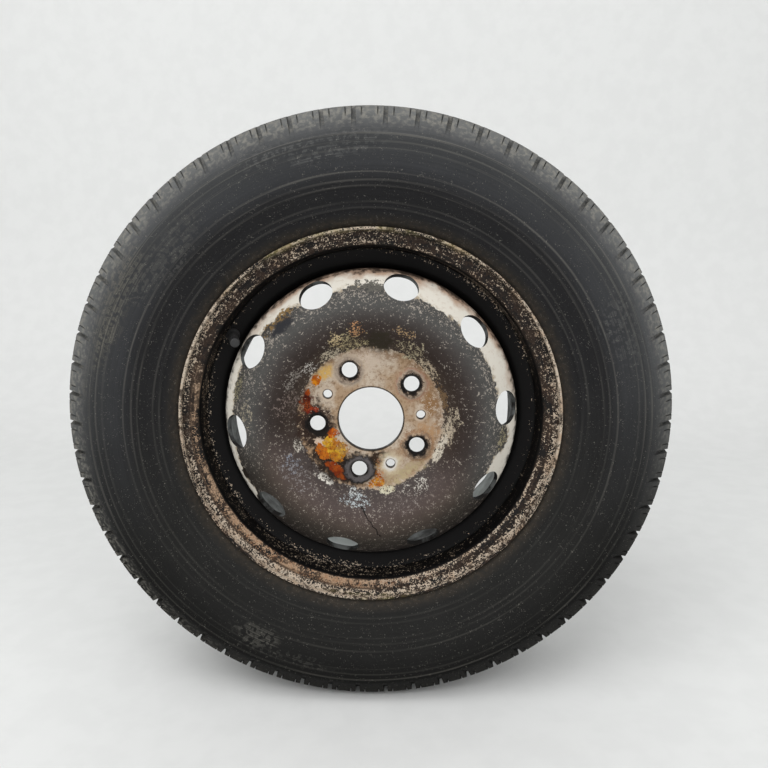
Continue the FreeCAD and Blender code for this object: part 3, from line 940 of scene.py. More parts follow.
    def hub_patch(self, work: Patchwork, face: Array, middle: float, hole: Hole) -> Array:
        """Adds the mounting area's patch of one sector to a face.

        Rings about the hole's middle run out from its edge, and then blend in even shares into the
        sector's border. Round a bolt seat they climb the cone and fall off the boss.

        Args:
            work: The disc's patches.
            face: The sheet's outer or inner face.
            middle: Angle of the sector's middle.
            hole: What the sector holds.

        Returns:
            The hole's edge on this face in metres, or no points on plain sheet.
        """
        outside = face is self.outer
        if hole is Hole.NONE:
            climb = np.linspace(0.0, self.hub_end, self.up + 1)
            points = self.surface(face, self.sweep(middle)[:, None], climb[None, :])
            work.add_grid(points, mark=float(not outside))
            return np.zeros((0, 3))
        angle, length = self.border(middle, 0.0, self.hub_end)
        radius, _ = self.at(face, length)
        edge = np.stack([radius * np.cos(angle), radius * np.sin(angle)], axis=-1)
        reach = self.bolt_circle if hole is Hole.BOLT else self.pilot_circle
        centre = reach * np.array([math.cos(middle), math.sin(middle)])
        way = edge - centre
        way = way / np.linalg.norm(way, axis=1)[:, None]
        bolt = outside and hole is Hole.BOLT
        start = self.bolt_hole if hole is Hole.BOLT else self.pilot_hole
        rings = [self.seat, *self.seat_rings] if bolt else [start + ring for ring in self.hole_rings]
        plan = [centre + ring * way for ring in rings]
        last = plan[-1]
        plan += [last + (edge - last) * share for share in self.hub_shares]
        flat = np.stack(plan, axis=1)
        out = np.hypot(flat[..., 0], flat[..., 1])
        level = np.interp(out, face[:, 0][:self.crest()], face[:, 1][:self.crest()])
        if bolt:
            ring = np.linalg.norm(flat - centre, axis=-1)
            level = level - self.boss_height * (1.0 - smooth_step(ring, *self.boss))
        points = np.stack([flat[..., 0], level, flat[..., 1]], axis=-1) * MM
        if bolt:
            cone = np.linspace(self.bolt_hole, self.seat, 4)[:-1]
            depth = self.corners[0][1] + self.gauge - self.land
            top = float(np.mean(points[:, 0, 1])) / MM
            drop = depth + (top - depth) * (cone - self.bolt_hole) / (self.seat - self.bolt_hole)
            wall = centre + cone[None, :, None] * way[:, None, :]
            wall = np.stack(np.broadcast_arrays(wall[..., 0], drop, wall[..., 1]), axis=-1) * MM
            points[:, 0, 1] = top * MM
            points = np.concatenate([wall, points], axis=1)
        work.add_grid(points, wrap_rows=True, mark=float(not outside))
        return points[:, 0]

    def crest(self) -> int:
        """Number of section points that the mounting area's patch reads: up to its end and a few more."""
        return int(np.searchsorted(self.length, self.hub_end)) + 4

    def vent_patch(self, work: Patchwork, face: Array, middle: float) -> Array:
        """Adds the vent's patch of one sector to a face.

        The vent is a round punch square to the flank, so its edge is where the face lies one vent
        radius from the punch's axis. The place along the section is found by going back from the
        distance up the slope, with the angle about the axle put right in a few rounds. From that edge
        the rows run in even shares of angle and length to the sector's border.

        Args:
            work: The disc's patches.
            face: The sheet's outer or inner face.
            middle: Angle of the sector's middle.

        Returns:
            The vent's edge on this face in metres.
        """
        low, high = self.vent_level - self.vent_reach, self.vent_level + self.vent_reach
        angle, length = self.border(middle, low, high)
        turn = np.arctan2(length - self.vent_level, (angle - middle) * self.vent_at[0])
        aside, upward = self.vent * np.cos(turn), self.vent * np.sin(turn)
        lean = math.radians(self.slope)
        stretch = np.linspace(low, high, 400)
        radius, level = self.at(face, stretch)
        swing = aside / self.vent_at[0]
        for _ in range(4):
            shift = (np.cos(swing)[:, None] * radius - self.vent_at[0]) * math.cos(lean)
            climb = shift + (level - self.vent_at[1]) * math.sin(lean)
            place = np.array([np.interp(target, row, stretch) for target, row in zip(upward, climb)])
            swing = np.arcsin(aside / np.interp(place, stretch, radius))
        share = np.array(self.vent_shares)
        around = (middle + swing)[:, None] * (1 - share) + angle[:, None] * share
        along = place[:, None] * (1 - share) + length[:, None] * share
        points = self.surface(face, around, along)
        work.add_grid(points, wrap_rows=True, mark=float(face is self.inner))
        return points[:, 0]

    def build(self) -> bpy.types.Object:
        """Builds the disc as one closed shell of patches on its two faces and the walls between them.

        Returns:
            The disc.
        """
        work = Patchwork()
        swing = np.concatenate([self.sweep(middle)[:-1] for middle in self.middles])
        low, high = self.vent_level - self.vent_reach, self.vent_level + self.vent_reach
        crest = np.linspace(self.hub_end, low, self.crest_rows)
        skirt = np.linspace(high, self.length[-1], self.skirt_rows)
        for middle, hole in zip(self.middles, self.holes):
            edges = [self.hub_patch(work, face, middle, hole) for face in (self.outer, self.inner)]
            if hole is not Hole.NONE:
                work.add_grid(np.stack(edges, axis=1), wrap_rows=True, mark=0.5)
            edges = [self.vent_patch(work, face, middle) for face in (self.outer, self.inner)]
            work.add_grid(np.stack(edges, axis=1), wrap_rows=True, mark=0.5)
        for face in (self.outer, self.inner):
            for stretch in (crest, skirt):
                grid = self.surface(face, swing[:, None], stretch[None, :])
                work.add_grid(grid, wrap_rows=True, mark=float(face is self.inner))
        for place in (0.0, self.length[-1]):
            level = np.full(len(swing), place)
            wall = [self.surface(face, swing, level) for face in (self.outer, self.inner)]
            work.add_grid(np.stack(wall, axis=1), wrap_rows=True, mark=0.5)
        disc = work.piece("disc_dressed", "wheel", ["wheel_disc"], "disc_paint", 38.0)
        edge = disc.modifiers.new("rounded_edges", "BEVEL")
        edge.width = self.edge_round * MM
        edge.segments = 2
        edge.limit_method = "ANGLE"
        edge.angle_limit = math.radians(40.0)
        return disc


@dataclass
class Valve:
    """The snap-in valve: rubber stem, threaded barrel and ribbed dust cap, turned about its own axis.

    Attributes:
        foot: Place where the valve's axis leaves the well's wall.
        way: Direction of the valve's axis.
        stem: Rubber stem's section: radius, height and radius of each bend.
        thread: Outside and root radius of the barrel's thread.
        thread_rise: Heights between which the thread comes up.
        thread_end: Run below the tip over which the thread fades out.
        pitch: Rise of the thread in one turn.
        barrel: Lowest and highest point of the barrel.
        tip: Height and depth of the bevel at the barrel's tip.
        bore: Radius of the barrel's air way above and below its step.
        bore_step: Heights where that step starts and ends.
        cap: Outside of the dust cap: radius, height and radius of each bend.
        cap_inside: Inside of the dust cap, in the same form.
        ribs: Grip ribs of the cap.
        rib: Height of a grip rib.
        rib_wall: Radius beyond which the cap's wall has ribs.
        rib_rise: Heights between which the ribs come up.
        rib_fall: Heights between which the ribs fade out.
    """

    foot: Triple = (-152.41, -49.21, 89.78)
    way: Triple = (0.237497, -0.961262, -0.139897)
    stem: Triples = (
        (3.85, -11.9, 0.0), (7.2, -11.9, 1.0), (8.75, -3.0, 1.2), (5.6, -2.9, 0.4), (5.6, 0.0, 0.2),
        (7.6, 0.1, 0.5), (7.5, 1.6, 1.0), (4.9, 5.0, 3.0), (4.9, 19.6, 0.5), (3.85, 19.9, 0.0))
    thread: tuple[float, float] = (3.85, 3.4)
    thread_rise: tuple[float, float] = (19.0, 20.0)
    thread_end: float = 0.8
    pitch: float = 0.794
    barrel: tuple[float, float] = (-11.9, 30.0)
    tip: tuple[float, float] = (0.7, 0.45)
    bore: tuple[float, float] = (2.6, 1.7)
    bore_step: tuple[float, float] = (18.0, 16.0)
    cap: Triples = ((4.15, 20.5, 0.2), (5.1, 20.5, 0.3), (5.1, 32.0, 1.0), (0.0, 32.7, 0.0))
    cap_inside: Triples = ((0.0, 31.9, 0.0), (4.15, 31.9, 0.3), (4.15, 20.5, 0.0))
    ribs: int = 12
    rib: float = 0.38
    rib_wall: float = 4.9
    rib_rise: tuple[float, float] = (20.6, 21.2)
    rib_fall: tuple[float, float] = (30.2, 31.2)

    def placed(self, radius: Array, height: Array, angles: Array) -> Array:
        """Points about the valve's axis.

        The point is the foot plus height along the axis plus radius along an arm that turns with the
        angle between two directions square to the axis.

        Args:
            radius: Distances from the axis, as angles by section points.
            height: Heights along the axis, in the same shape.
            angles: Angles about the axis, in radians.

        Returns:
            Points in metres.
        """
        way = np.array(self.way) / np.linalg.norm(self.way)
        first = np.cross(way, [0.0, 0.0, 1.0])
        first = first / np.linalg.norm(first)
        second = np.cross(way, first)
        arm = np.cos(angles)[:, None, None] * first + np.sin(angles)[:, None, None] * second
        return (np.array(self.foot) + height[..., None] * way + radius[..., None] * arm) * MM

    def plain(self, section: Array, angles: Array) -> Array:
        """Turns a section about the valve's axis without relief."""
        radius, height = (np.tile(column, (len(angles), 1)) for column in section.T)
        return self.placed(radius, height, angles)

    def build_stem(self) -> bpy.types.Object:
        """Builds the rubber stem as a closed turned shell."""
        work = Patchwork()
        section = divided(rounded(self.stem, step_deg=15.0), longest=2.5)
        work.add_grid(self.plain(section, circle(48)), wrap_rows=True, wrap_columns=True)
        return work.piece("valve_stem_dressed", "wheel", ["valve_stem"], "valve_rubber", 40.0)

    def build_barrel(self) -> bpy.types.Object:
        """Builds the brass barrel with its outside thread.

        The radius waves between the thread's crest and root with the height over the pitch less the
        turn, so the wave climbs one pitch in each turn. It fades out at the barrel's ends.

        Returns:
            The barrel.
        """
        work = Patchwork()
        angles = circle(36)
        low, high = self.barrel
        crest, root = self.thread
        height = np.concatenate([[low], np.linspace(self.thread_rise[0], high, 120)])
        wave = np.abs(((height[None, :] / self.pitch - angles[:, None] / FULL_TURN) % 1.0) * 2.0 - 1.0)
        fade = smooth_step(height, high - self.thread_end, high)
        ends = smooth_step(height, *self.thread_rise) * (1.0 - fade)
        bevel = self.tip[1] * smooth_step(height, high - self.tip[0], high)
        radius = crest - (crest - root) * wave * ends - bevel
        work.add_grid(self.placed(radius, np.broadcast_to(height, radius.shape), angles), wrap_rows=True)
        wide, narrow = self.bore
        inside = np.array([(radius[0, -1], high), (wide, high), (wide, self.bore_step[0]),
                           (narrow, self.bore_step[1]), (narrow, low), (crest, low)])
        work.add_grid(self.plain(inside, angles), wrap_rows=True)
        return work.piece("valve_barrel_dressed", "wheel", ["valve_barrel"], "valve_brass", 30.0)

    def build_cap(self) -> bpy.types.Object:
        """Builds the dust cap with its grip ribs.

        The ribs add to the radius a raised power of a cosine that turns once to a rib, and fade out
        below the cap's crown.

        Returns:
            The cap.
        """
        work = Patchwork()
        angles = circle(12 * self.ribs)
        outside = divided(rounded(self.cap, step_deg=12.0), longest=1.2)
        section = np.concatenate([outside, divided(rounded(self.cap_inside, step_deg=20.0), longest=2.0)])
        wall, level = section[:, 0], section[:, 1]
        ribbed = (wall > self.rib_wall) * smooth_step(level, *self.rib_rise)
        ribbed = ribbed * (1.0 - smooth_step(level, *self.rib_fall))
        radius = wall + self.rib * np.power(np.cos(angles * self.ribs / 2.0), 4)[:, None] * ribbed
        height = np.broadcast_to(level, radius.shape)
        work.add_grid(self.placed(radius, height, angles), wrap_rows=True)
        return work.piece("valve_cap_dressed", "valve_cap", ["valve_cap"], "cap_plastic", 35.0)


@dataclass
class Welds:
    """The weld beads between the disc's skirt and the rim's well.

    Attributes:
        count: Number of beads.
        sweep: Angle along one bead, in degrees.
        corner: Radius and level of the corner that a bead fills.
        leg: Leg of a bead.
        ripples: Ripples along one bead.
    """

    count: int = 8
    sweep: float = 20.0
    corner: tuple[float, float] = (163.0, -22.0)
    leg: float = 4.0
    ripples: int = 22

    def build(self) -> bpy.types.Object:
        """Builds the beads.

        A bead's section is a quarter turn about the corner, and its size waves along the bead with
        the ripples and runs out at both ends.

        Returns:
            The beads, as one piece.
        """
        work = Patchwork()
        share = np.linspace(0.0, 1.0, 6 * self.ripples + 1)
        wave = 0.9 + 0.1 * np.sin(share * self.ripples * FULL_TURN)
        ends = np.power(np.sin(math.pi * np.clip(share, 0.002, 0.998)), 0.25)
        size = (self.leg * wave * ends * 0.98)[:, None]
        arch = np.linspace(0.0, math.pi / 2, 7)
        corner = np.zeros((len(share), 1))
        radius = self.corner[0] - np.concatenate([size * np.cos(arch), corner], axis=1)
        level = self.corner[1] + np.concatenate([size * np.sin(arch), corner], axis=1)
        for bead in range(self.count):
            angle = np.radians(360.0 / self.count * bead + self.sweep * share)[:, None]
            grid = np.stack([radius * np.cos(angle), level, radius * np.sin(angle)], axis=-1) * MM
            work.add_grid(grid, wrap_columns=True)
        return work.piece("disc_welds_dressed", "wheel", ["disc_welds"], "weld_paint", 50.0)


# Finishes

@dataclass(frozen=True)
class Patch:
    """A frayed patch of another colour on a piece that goes round the axle.

    Attributes:
        angle: Angle of its middle about the axle, in degrees.
        radius: Distance of its middle from the axle.
        wide: Half of its width round the axle.
        high: Half of its height away from the axle.
        colour: Its colour.
        cover: Share of it that is left, with the rest crumbled away.
        fray: How far its edge wanders, as a share of its size.
        soft: How soft its edge is, as a share of its size.
    """

    angle: float
    radius: float
    wide: float
    high: float
    colour: Colour
    cover: float = 1.2
    fray: float = 0.9
    soft: float = 0.1

    @classmethod
    def spot(cls, angle: float, radius: float, size: float, colour: Colour, *wear: float) -> "Patch":
        """A round patch of the given half width, with its cover, fray and softness."""
        return cls(angle, radius, size, size, colour, *wear)


@dataclass(frozen=True)
class TyreRubber:
    """Weathered tyre rubber: dark and matte, greyer on its upper half and on the tread with dust and with
    painted light from above, and darkest at the ground with painted shadow.

    Attributes:
        upper: Colour by distance from the axle on the upper half, lighter towards the tread with painted
            light from above.
        lower: Colour by distance from the axle on the lower half, darkest near the ground with painted
            contact shadow.
        dust: Pale dust in the cuts and on scuffs.
        soil: Brown dirt along the rim.
        lines: Radii of the moulded lines, and how dusty each is.
        scuffs: Scuffed places on the sidewall.
    """

    upper: Shades = (
        (205, srgb(48, 46, 43)), (222, srgb(32, 32, 33)), (250, srgb(33, 33, 34)), (268, srgb(51, 52, 54)),
        (292, srgb(54, 55, 56)), (306, srgb(77, 78, 79)), (322, srgb(102, 103, 102)), (334, srgb(88, 88, 87)))
    lower: Shades = (
        (205, srgb(50, 47, 43)), (222, srgb(34, 34, 33)), (262, srgb(31, 31, 30)), (300, srgb(18, 18, 17)),
        (320, srgb(28, 27, 25)), (334, srgb(44, 43, 40)))
    dust: Colour = srgb(134, 131, 123)
    soil: Colour = srgb(66, 58, 49)
    lines: Stops = (
        (297.5, 0.3), (290, 0.2), (283, 0.12), (261, 0.2), (253, 0.14), (247, 0.14), (232, 0.1), (226, 0.12))
    scuffs: tuple[Patch, ...] = (
        Patch(241.6, 272, 26, 9, srgb(98, 96, 90), 0.6, 0.8, 0.5),
        Patch(250, 283, 40, 7, srgb(74, 73, 69), 0.45, 0.8, 0.5),
        Patch(156, 292, 70, 12, srgb(108, 104, 94), 0.6, 0.7, 0.6),
        Patch(140, 276, 50, 16, srgb(84, 83, 79), 0.55, 0.7, 0.6),
        Patch(100, 287, 90, 10, srgb(94, 94, 93), 0.5, 0.7, 0.6),
        Patch(20, 280, 50, 14, srgb(86, 86, 85), 0.5, 0.7, 0.6))

    def material(self) -> bpy.types.Material:
        """Builds the material.

        Returns:
            The tyre's material.
        """
        g = Graph("tyre_rubber")
        cloud, grain, fine = g.noise(45.0, 4.0), g.noise(5.0, 4.0, seed=3.0), g.noise(1.3, 3.0, seed=5.0)
        rub = g.streaks(90.0, 1.6)
        # The upper ramp carries painted light from above, and the lower one carries painted shadow where the
        # tyre meets the ground.
        low = g.arc(272.0, 84.0, 60.0)
        colour = g.mix(low, g.outwards(self.upper), g.outwards(self.lower))
        colour = g.shaded(colour, 0.48 + cloud * 0.4 + rub * 0.36 + fine * 0.2)
        soil = g.radius.below(209.0, 222.0) * grain.above(0.3, 0.65) * g.y.below(-40.0, -30.0)
        colour = g.mix(soil * 0.6, colour, self.soil)
        for radius, dusty in self.lines:
            line = g.math("ABSOLUTE", g.radius - radius).below(0.5, 1.5) * rub.above(0.3, 0.7)
            colour = g.mix(line * (1.0 - low * 0.6) * dusty, colour, self.dust)
        for scuff in self.scuffs:
            colour = g.mix(g.patch(scuff, cloud, grain) * rub.above(0.3, 0.7) * 0.5, colour, scuff.colour)
        worn = g.radius.above(300.0, 318.0) * g.arc(115.0, 115.0, 60.0) * grain.above(0.42, 0.68)
        colour = g.mix(worn * 0.6, colour, self.dust)
        speck = fine.chipped(0.16) * grain.above(0.45, 0.6)
        colour = g.mix(speck * 0.5, colour, self.dust)
        return g.finish(colour, 0.78 + grain * 0.2, height=fine * 0.5 + rub * 0.5, depth=0.3, shine=0.12)


@dataclass(frozen=True)
class ChippedPaint:
    """Black paint on the rim, chipped to cream paint and brown rust along its flange.

    Attributes:
        black: The paint in the well, made darker than black paint to carry painted shade in the well.
        worn: The paint on the flange.
        brown: The paint where rust comes through.
        cream: Chips of the older paint.
        tan: The older paint where it is stained.
        rust: Rust stains.
        moss: Growth along the lip.
        grey: Dusty grey paint on the inside of the rim.
        lip: Share of the lip that is chipped, by angle, raised where the round lip catches light, so partly a
            painted highlight.
        curl: Share of the flange's outer bend that is chipped, by angle.
        flat: Share of the flange's flat that is chipped, by angle.
        heel: Share of the flange's inner bend that is chipped, by angle.
        seat: Share of the bead seat's corner that is chipped, by angle.
    """

    # Near-zero black: black paint with the painted shade of the well in it.
    black: Colour = srgb(9, 8, 8)
    worn: Colour = srgb(24, 22, 21)
    brown: Colour = srgb(48, 37, 30)
    cream: Colour = srgb(204, 193, 176)
    tan: Colour = srgb(158, 132, 108)
    rust: Colour = srgb(122, 78, 46)
    moss: Colour = srgb(112, 106, 58)
    grey: Colour = srgb(150, 151, 148)
    # Lip chip shares are partly real chips and partly a painted highlight where the round lip catches light.
    lip: Stops = (
        (0, 0.84), (50, 0.56), (90, 0.66), (120, 0.6), (162, 0.78), (220, 0.42), (260, 0.72), (278, 0.4),
        (326, 0.48), (360, 0.84))
    curl: Stops = (
        (0, 0.56), (24, 0.44), (100, 0.42), (160, 0.56), (180, 0.43), (228, 0.71), (262, 0.56), (360, 0.57))
    flat: Stops = (
        (0, 0.42), (36, 0.33), (120, 0.46), (160, 0.3), (184, 0.53), (222, 0.5), (242, 0.69), (282, 0.58),
        (300, 0.33), (344, 0.32), (360, 0.42))
    heel: Stops = (
        (0, 0.36), (62, 0.39), (82, 0.49), (110, 0.42), (140, 0.51), (164, 0.34), (222, 0.72), (240, 0.6),
        (264, 0.83), (300, 0.57), (318, 0.67), (360, 0.36))
    seat: Stops = (
        (0, 0.26), (48, 0.43), (82, 0.28), (140, 0.26), (158, 0.39), (210, 0.32), (260, 0.4), (322, 0.26),
        (360, 0.26))

    def material(self) -> bpy.types.Material:
        """Builds the material.

        Returns:
            The rim's material.
        """
        g = Graph("rim_paint")
        cloud, grain, fine = g.noise(20.0, 4.0), g.noise(4.0, 5.0, 0.68, 2.0), g.noise(1.7, 3.0, 0.6, 7.0)
        streak = g.streaks(30.0, 1.8, 4.0)
        front = g.y.below(-40.0, -30.0)
        lip = g.radius.above(203.9, 205.0) * g.y.below(-84.0, -81.0)
        curl = (g.radius + (grain - 0.5) * 6.0).above(197.5, 199.5) * (1.0 - lip) * front
        shelf = g.radius.above(186.2, 187.6) * g.y.below(-76.5, -74.5) * (1.0 - curl) * (1.0 - lip)
        outer = (g.radius + (grain - 0.5) * 5.0).above(191.0, 193.0)
        seat = g.radius.above(172.0, 182.0) * g.radius.below(186.4, 187.6) * g.y.above(-76.0, -72.0) * front
        stained = g.arc(222.0, 54.0, 24.0)
        flange = (lip + curl + shelf).least(1.0)
        base = g.mix((cloud * 0.6 + streak * 0.4).above(0.42, 0.6) * 0.85, self.worn, self.brown)
        # The well takes the near-zero black, which is black paint with painted shade.
        base = g.mix(flange, self.black, base)
        ledge = outer * g.around(self.flat) + (1.0 - outer) * g.around(self.heel)
        cover = lip * g.around(self.lip) + curl * g.around(self.curl) + shelf * ledge
        cover = cover + seat * g.around(self.seat)
        crumb = (grain * 0.3 + fine * 0.55 + streak * 0.15 - 0.5) * 1.9 + 0.5
        chips = crumb.chipped(cover * (0.94 + cloud * 0.98) - 0.345)
        soft = shelf * stained * (cloud * 0.4 + streak * 0.3 + grain * 0.3).above(0.44, 0.62)
        tone = g.mix((shelf * stained).most(cloud.above(0.5, 0.66) * 0.6), self.cream, self.tan)
        tone = g.mix(fine.above(0.38, 0.62) * 0.5, tone, self.tan)
        colour = g.mix(soft * (0.5 + fine * 0.7).least(1.0), base, self.tan)
        colour = g.mix(chips * (0.62 + fine * 0.6).least(1.0), colour, tone)
        stain = g.arc(252.0, 36.0, 20.0) * shelf * grain.above(0.5, 0.62)
        colour = g.mix(stain * 0.5, colour, self.rust)
        groove = g.radius.above(195.0, 197.5) * g.radius.below(198.0, 200.0) * flange
        groove = groove * streak.above(0.36, 0.5)
        pits = flange * g.noise(8.0, 5.0, 0.7, 11.0).chipped(0.38)
        colour = g.mix(pits.most(groove * stained) * 0.85, colour, self.brown)
        damp = g.arc(98.0, 34.0, 24.0).most(g.arc(268.0, 12.0, 10.0))
        growth = lip.most(curl * g.radius.above(201.0, 204.0) * 0.6) * damp * cloud.above(0.38, 0.6)
        colour = g.mix(growth * 0.42, colour, self.moss)
        bare = g.y.above(-16.0, -10.0) * ((cloud + grain) * 0.5).chipped(0.6)
        colour = g.mix(bare * 0.9, colour, g.mix(fine.above(0.4, 0.6) * 0.4, self.grey, self.worn))
        rough = 0.48 + chips * 0.3 + cloud * 0.12
        return g.finish(colour, rough, height=fine * 0.35 - crumb * 0.6, depth=0.24, shine=0.14)


@dataclass(frozen=True)
class FlakedPaint:
    """Dark paint on the disc, flaked off to cream paint, bare tan primer and rust.

    Attributes:
        upper: Dark paint by distance from the axle on the upper half, with painted shade on the hump's inner
            slope, which faces down here, and painted light on the flank, which faces up.
        lower: Dark paint by distance from the axle on the lower half, with painted light on the hump's inner
            slope, which faces up here, and painted shade on the flank, which faces down.
        cream: Cream paint round the vents.
        blush: Cream paint where it is stained by rust.
        edge: Fringe of the cream paint.
        ring: Radius from which the cream paint shows, by angle.
        primer: Bare mounting area.
        worn: Bare mounting area where it is browner.
        pale: Bare mounting area where it is paler.
        soot: Black dirt, also laid on the disc's outer edge and skirt as painted shade.
        burnt: Dark rust.
        speck: Fine pale specks.
        dark: Paint on the inside of the sheet, and on the sheet's edges round the vents and holes as painted
            shade.
        grey: Pale dust on the inside of the sheet, made brighter as painted light from behind the wheel.
        dust: Share of the inside that is dusty and brightened with painted light from behind, by angle.
        flakes: Remains of older paint, in order.
        stains: Stains and soot on the mounting area, in order.
        rust: Rust on the mounting area, in order.
    """

    # The upper and lower ramps are lit and shaded copies of one paint: painted light and shade by which way
    # the slopes face.
    upper: Shades = (
        (76, srgb(62, 53, 45)), (88, srgb(60, 50, 44)), (98, srgb(50, 41, 37)), (108, srgb(49, 42, 39)),
        (118, srgb(62, 58, 56)), (128, srgb(72, 71, 69)), (138, srgb(76, 75, 73)), (160, srgb(52, 46, 43)))
    lower: Shades = (
        (76, srgb(60, 52, 49)), (84, srgb(70, 63, 61)), (98, srgb(76, 66, 63)), (108, srgb(78, 67, 63)),
        (118, srgb(73, 63, 57)), (128, srgb(61, 53, 47)), (138, srgb(55, 50, 45)), (160, srgb(38, 34, 32)))
    cream: Colour = srgb(212, 207, 196)
    blush: Colour = srgb(172, 146, 126)
    edge: Colour = srgb(140, 118, 80)
    ring: Stops = (
        (0, 144), (10, 140), (45, 140), (63, 141), (80, 145.5), (97, 147), (108, 144),
        (120, 145), (126, 150.5), (140, 149.5), (156, 152), (176, 150.5), (186, 149), (198, 154),
        (205, 155), (213, 151.5), (218, 164), (226, 175), (322, 175), (331, 150), (336, 138),
        (344, 140), (348, 151), (355, 152), (360, 144))
    primer: Colour = srgb(154, 131, 106)
    worn: Colour = srgb(116, 88, 62)
    pale: Colour = srgb(178, 164, 147)
    soot: Colour = srgb(24, 19, 16)
    burnt: Colour = srgb(84, 36, 14)
    speck: Colour = srgb(158, 150, 140)
    dark: Colour = srgb(34, 32, 31)
    grey: Colour = srgb(222, 228, 226)
    dust: Stops = (
        (0, 0.3), (30, 0.2), (150, 0.2), (180, 0.3), (234, 0.4), (246, 0.85), (268, 0.85), (278, 0.3),
        (300, 0.25), (318, 0.6), (340, 0.6), (360, 0.3))
    flakes: tuple[Patch, ...] = (
        Patch(44, 84, 15, 7, srgb(172, 158, 136), 0.46),
        Patch(62, 89, 13, 11, srgb(158, 148, 124), 0.42),
        Patch(84, 88, 13, 12, srgb(48, 43, 34), 0.8, 0.7, 0.4),
        Patch(104, 91, 16, 14, srgb(160, 148, 116), 0.42),
        Patch(98, 103, 8, 8, srgb(156, 116, 82), 0.4),
        Patch(69, 104, 10, 6, srgb(138, 116, 88), 0.36),
        Patch(112, 97, 6, 9, srgb(182, 164, 128), 0.42),
        Patch(121, 84, 11, 6, srgb(172, 162, 142), 0.52),
        Patch(139, 88, 10, 6, srgb(176, 172, 166), 0.44),
        Patch(152, 96, 14, 7, srgb(124, 118, 112), 0.4),
        Patch(168, 92, 16, 12, srgb(112, 100, 94), 0.34),
        Patch(3, 90, 12, 6, srgb(172, 160, 140), 0.48),
        Patch(352, 85, 14, 6, srgb(166, 154, 136), 0.62),
        Patch(336, 82.5, 16, 4.4, srgb(188, 180, 165), 0.72, 0.7),
        Patch(18, 82, 16, 4, srgb(104, 84, 62), 0.6),
        Patch(208, 97, 12, 6.5, srgb(122, 127, 137), 0.42),
        Patch(216, 100, 22, 10, srgb(120, 115, 113), 0.3),
        Patch(199, 84, 7, 4, srgb(196, 191, 180), 0.52),
        Patch(232.5, 83.5, 10, 3.8, srgb(200, 196, 187), 0.66),
        Patch(261, 91.5, 14, 7, srgb(160, 167, 169), 0.46),
        Patch(256, 83, 7, 3.2, srgb(176, 179, 177), 0.4),
        Patch(281, 81.5, 8, 3.6, srgb(186, 182, 160), 0.6),
        Patch(296, 87, 5, 5, srgb(170, 165, 157), 0.34),
        Patch(307, 91, 8, 7, srgb(190, 186, 177), 0.34),
        Patch(292, 97, 24, 9, srgb(118, 110, 105), 0.26),
        Patch(316, 104, 24, 10, srgb(108, 98, 92), 0.26),
        Patch(131, 146, 19, 6, srgb(124, 100, 64), 0.52),
        Patch(132, 140, 14, 5, srgb(46, 46, 49), 0.9, 0.6, 0.4),
        Patch(166, 148, 15, 4.5, srgb(122, 116, 94), 0.5),
        Patch(176, 135, 16, 6, srgb(138, 130, 114), 0.42),
        Patch(352, 145, 10, 5, srgb(142, 134, 110), 0.5),
        Patch(90, 146, 18, 5, srgb(92, 90, 84), 0.7),
        Patch(204, 154, 6, 3, srgb(36, 30, 24), 0.9, 0.8))
    stains: tuple[Patch, ...] = (
        Patch(16, 66, 16, 10, srgb(128, 97, 66), 0.7, 0.7, 0.6),
        Patch(345, 64, 12, 12, srgb(158, 126, 94), 0.7, 0.7, 0.6),
        Patch(100, 66, 20, 9, srgb(182, 166, 150), 0.7, 0.7, 0.6),
        Patch(303, 71, 24, 7, srgb(160, 145, 114), 0.7, 0.7, 0.5),
        Patch(187, 62, 27, 22, srgb(50, 38, 32), 0.8, 0.5, 0.3),
        Patch(234, 64, 34, 18, srgb(40, 30, 24), 0.95, 0.4, 0.25),
        Patch(282, 46, 13, 9, srgb(48, 36, 26), 0.9, 0.5, 0.3),
        Patch(134, 72, 11, 7, srgb(188, 154, 92), 0.8, 0.6, 0.5),
        Patch(205, 62, 6.5, 5, srgb(190, 170, 152), 0.9, 0.6))
    rust: tuple[Patch, ...] = (
        Patch(143, 73.5, 6.5, 4.8, srgb(196, 116, 22), 0.84, 0.6),
        Patch(164, 73, 12, 7, srgb(76, 30, 14), 0.95, 0.6, 0.3),
        Patch(167, 73, 9, 6, srgb(132, 58, 26), 0.5),
        Patch(157, 74, 3.5, 3.2, srgb(158, 76, 24), 0.7),
        Patch(172, 64, 4, 5, srgb(142, 52, 28), 0.64),
        Patch(220, 54, 15, 12, srgb(196, 146, 40), 0.84, 0.5),
        Patch(215, 65, 10, 6, srgb(174, 94, 24), 0.78, 0.6),
        Patch(235, 69, 14, 5.6, srgb(150, 70, 20), 0.8, 0.5),
        Patch(242, 73, 8, 4, srgb(132, 58, 16), 0.72, 0.6),
        Patch(228, 46, 9, 6, srgb(158, 116, 60), 0.6, 0.6),
        Patch(200, 45, 4, 5, srgb(178, 88, 22), 0.7),
        Patch(274, 73, 10, 4.6, srgb(186, 124, 40), 0.7, 0.6),
        Patch(278, 63, 5, 6, srgb(188, 118, 38), 0.6),
        Patch(284, 52, 7, 8, srgb(144, 96, 44), 0.5))

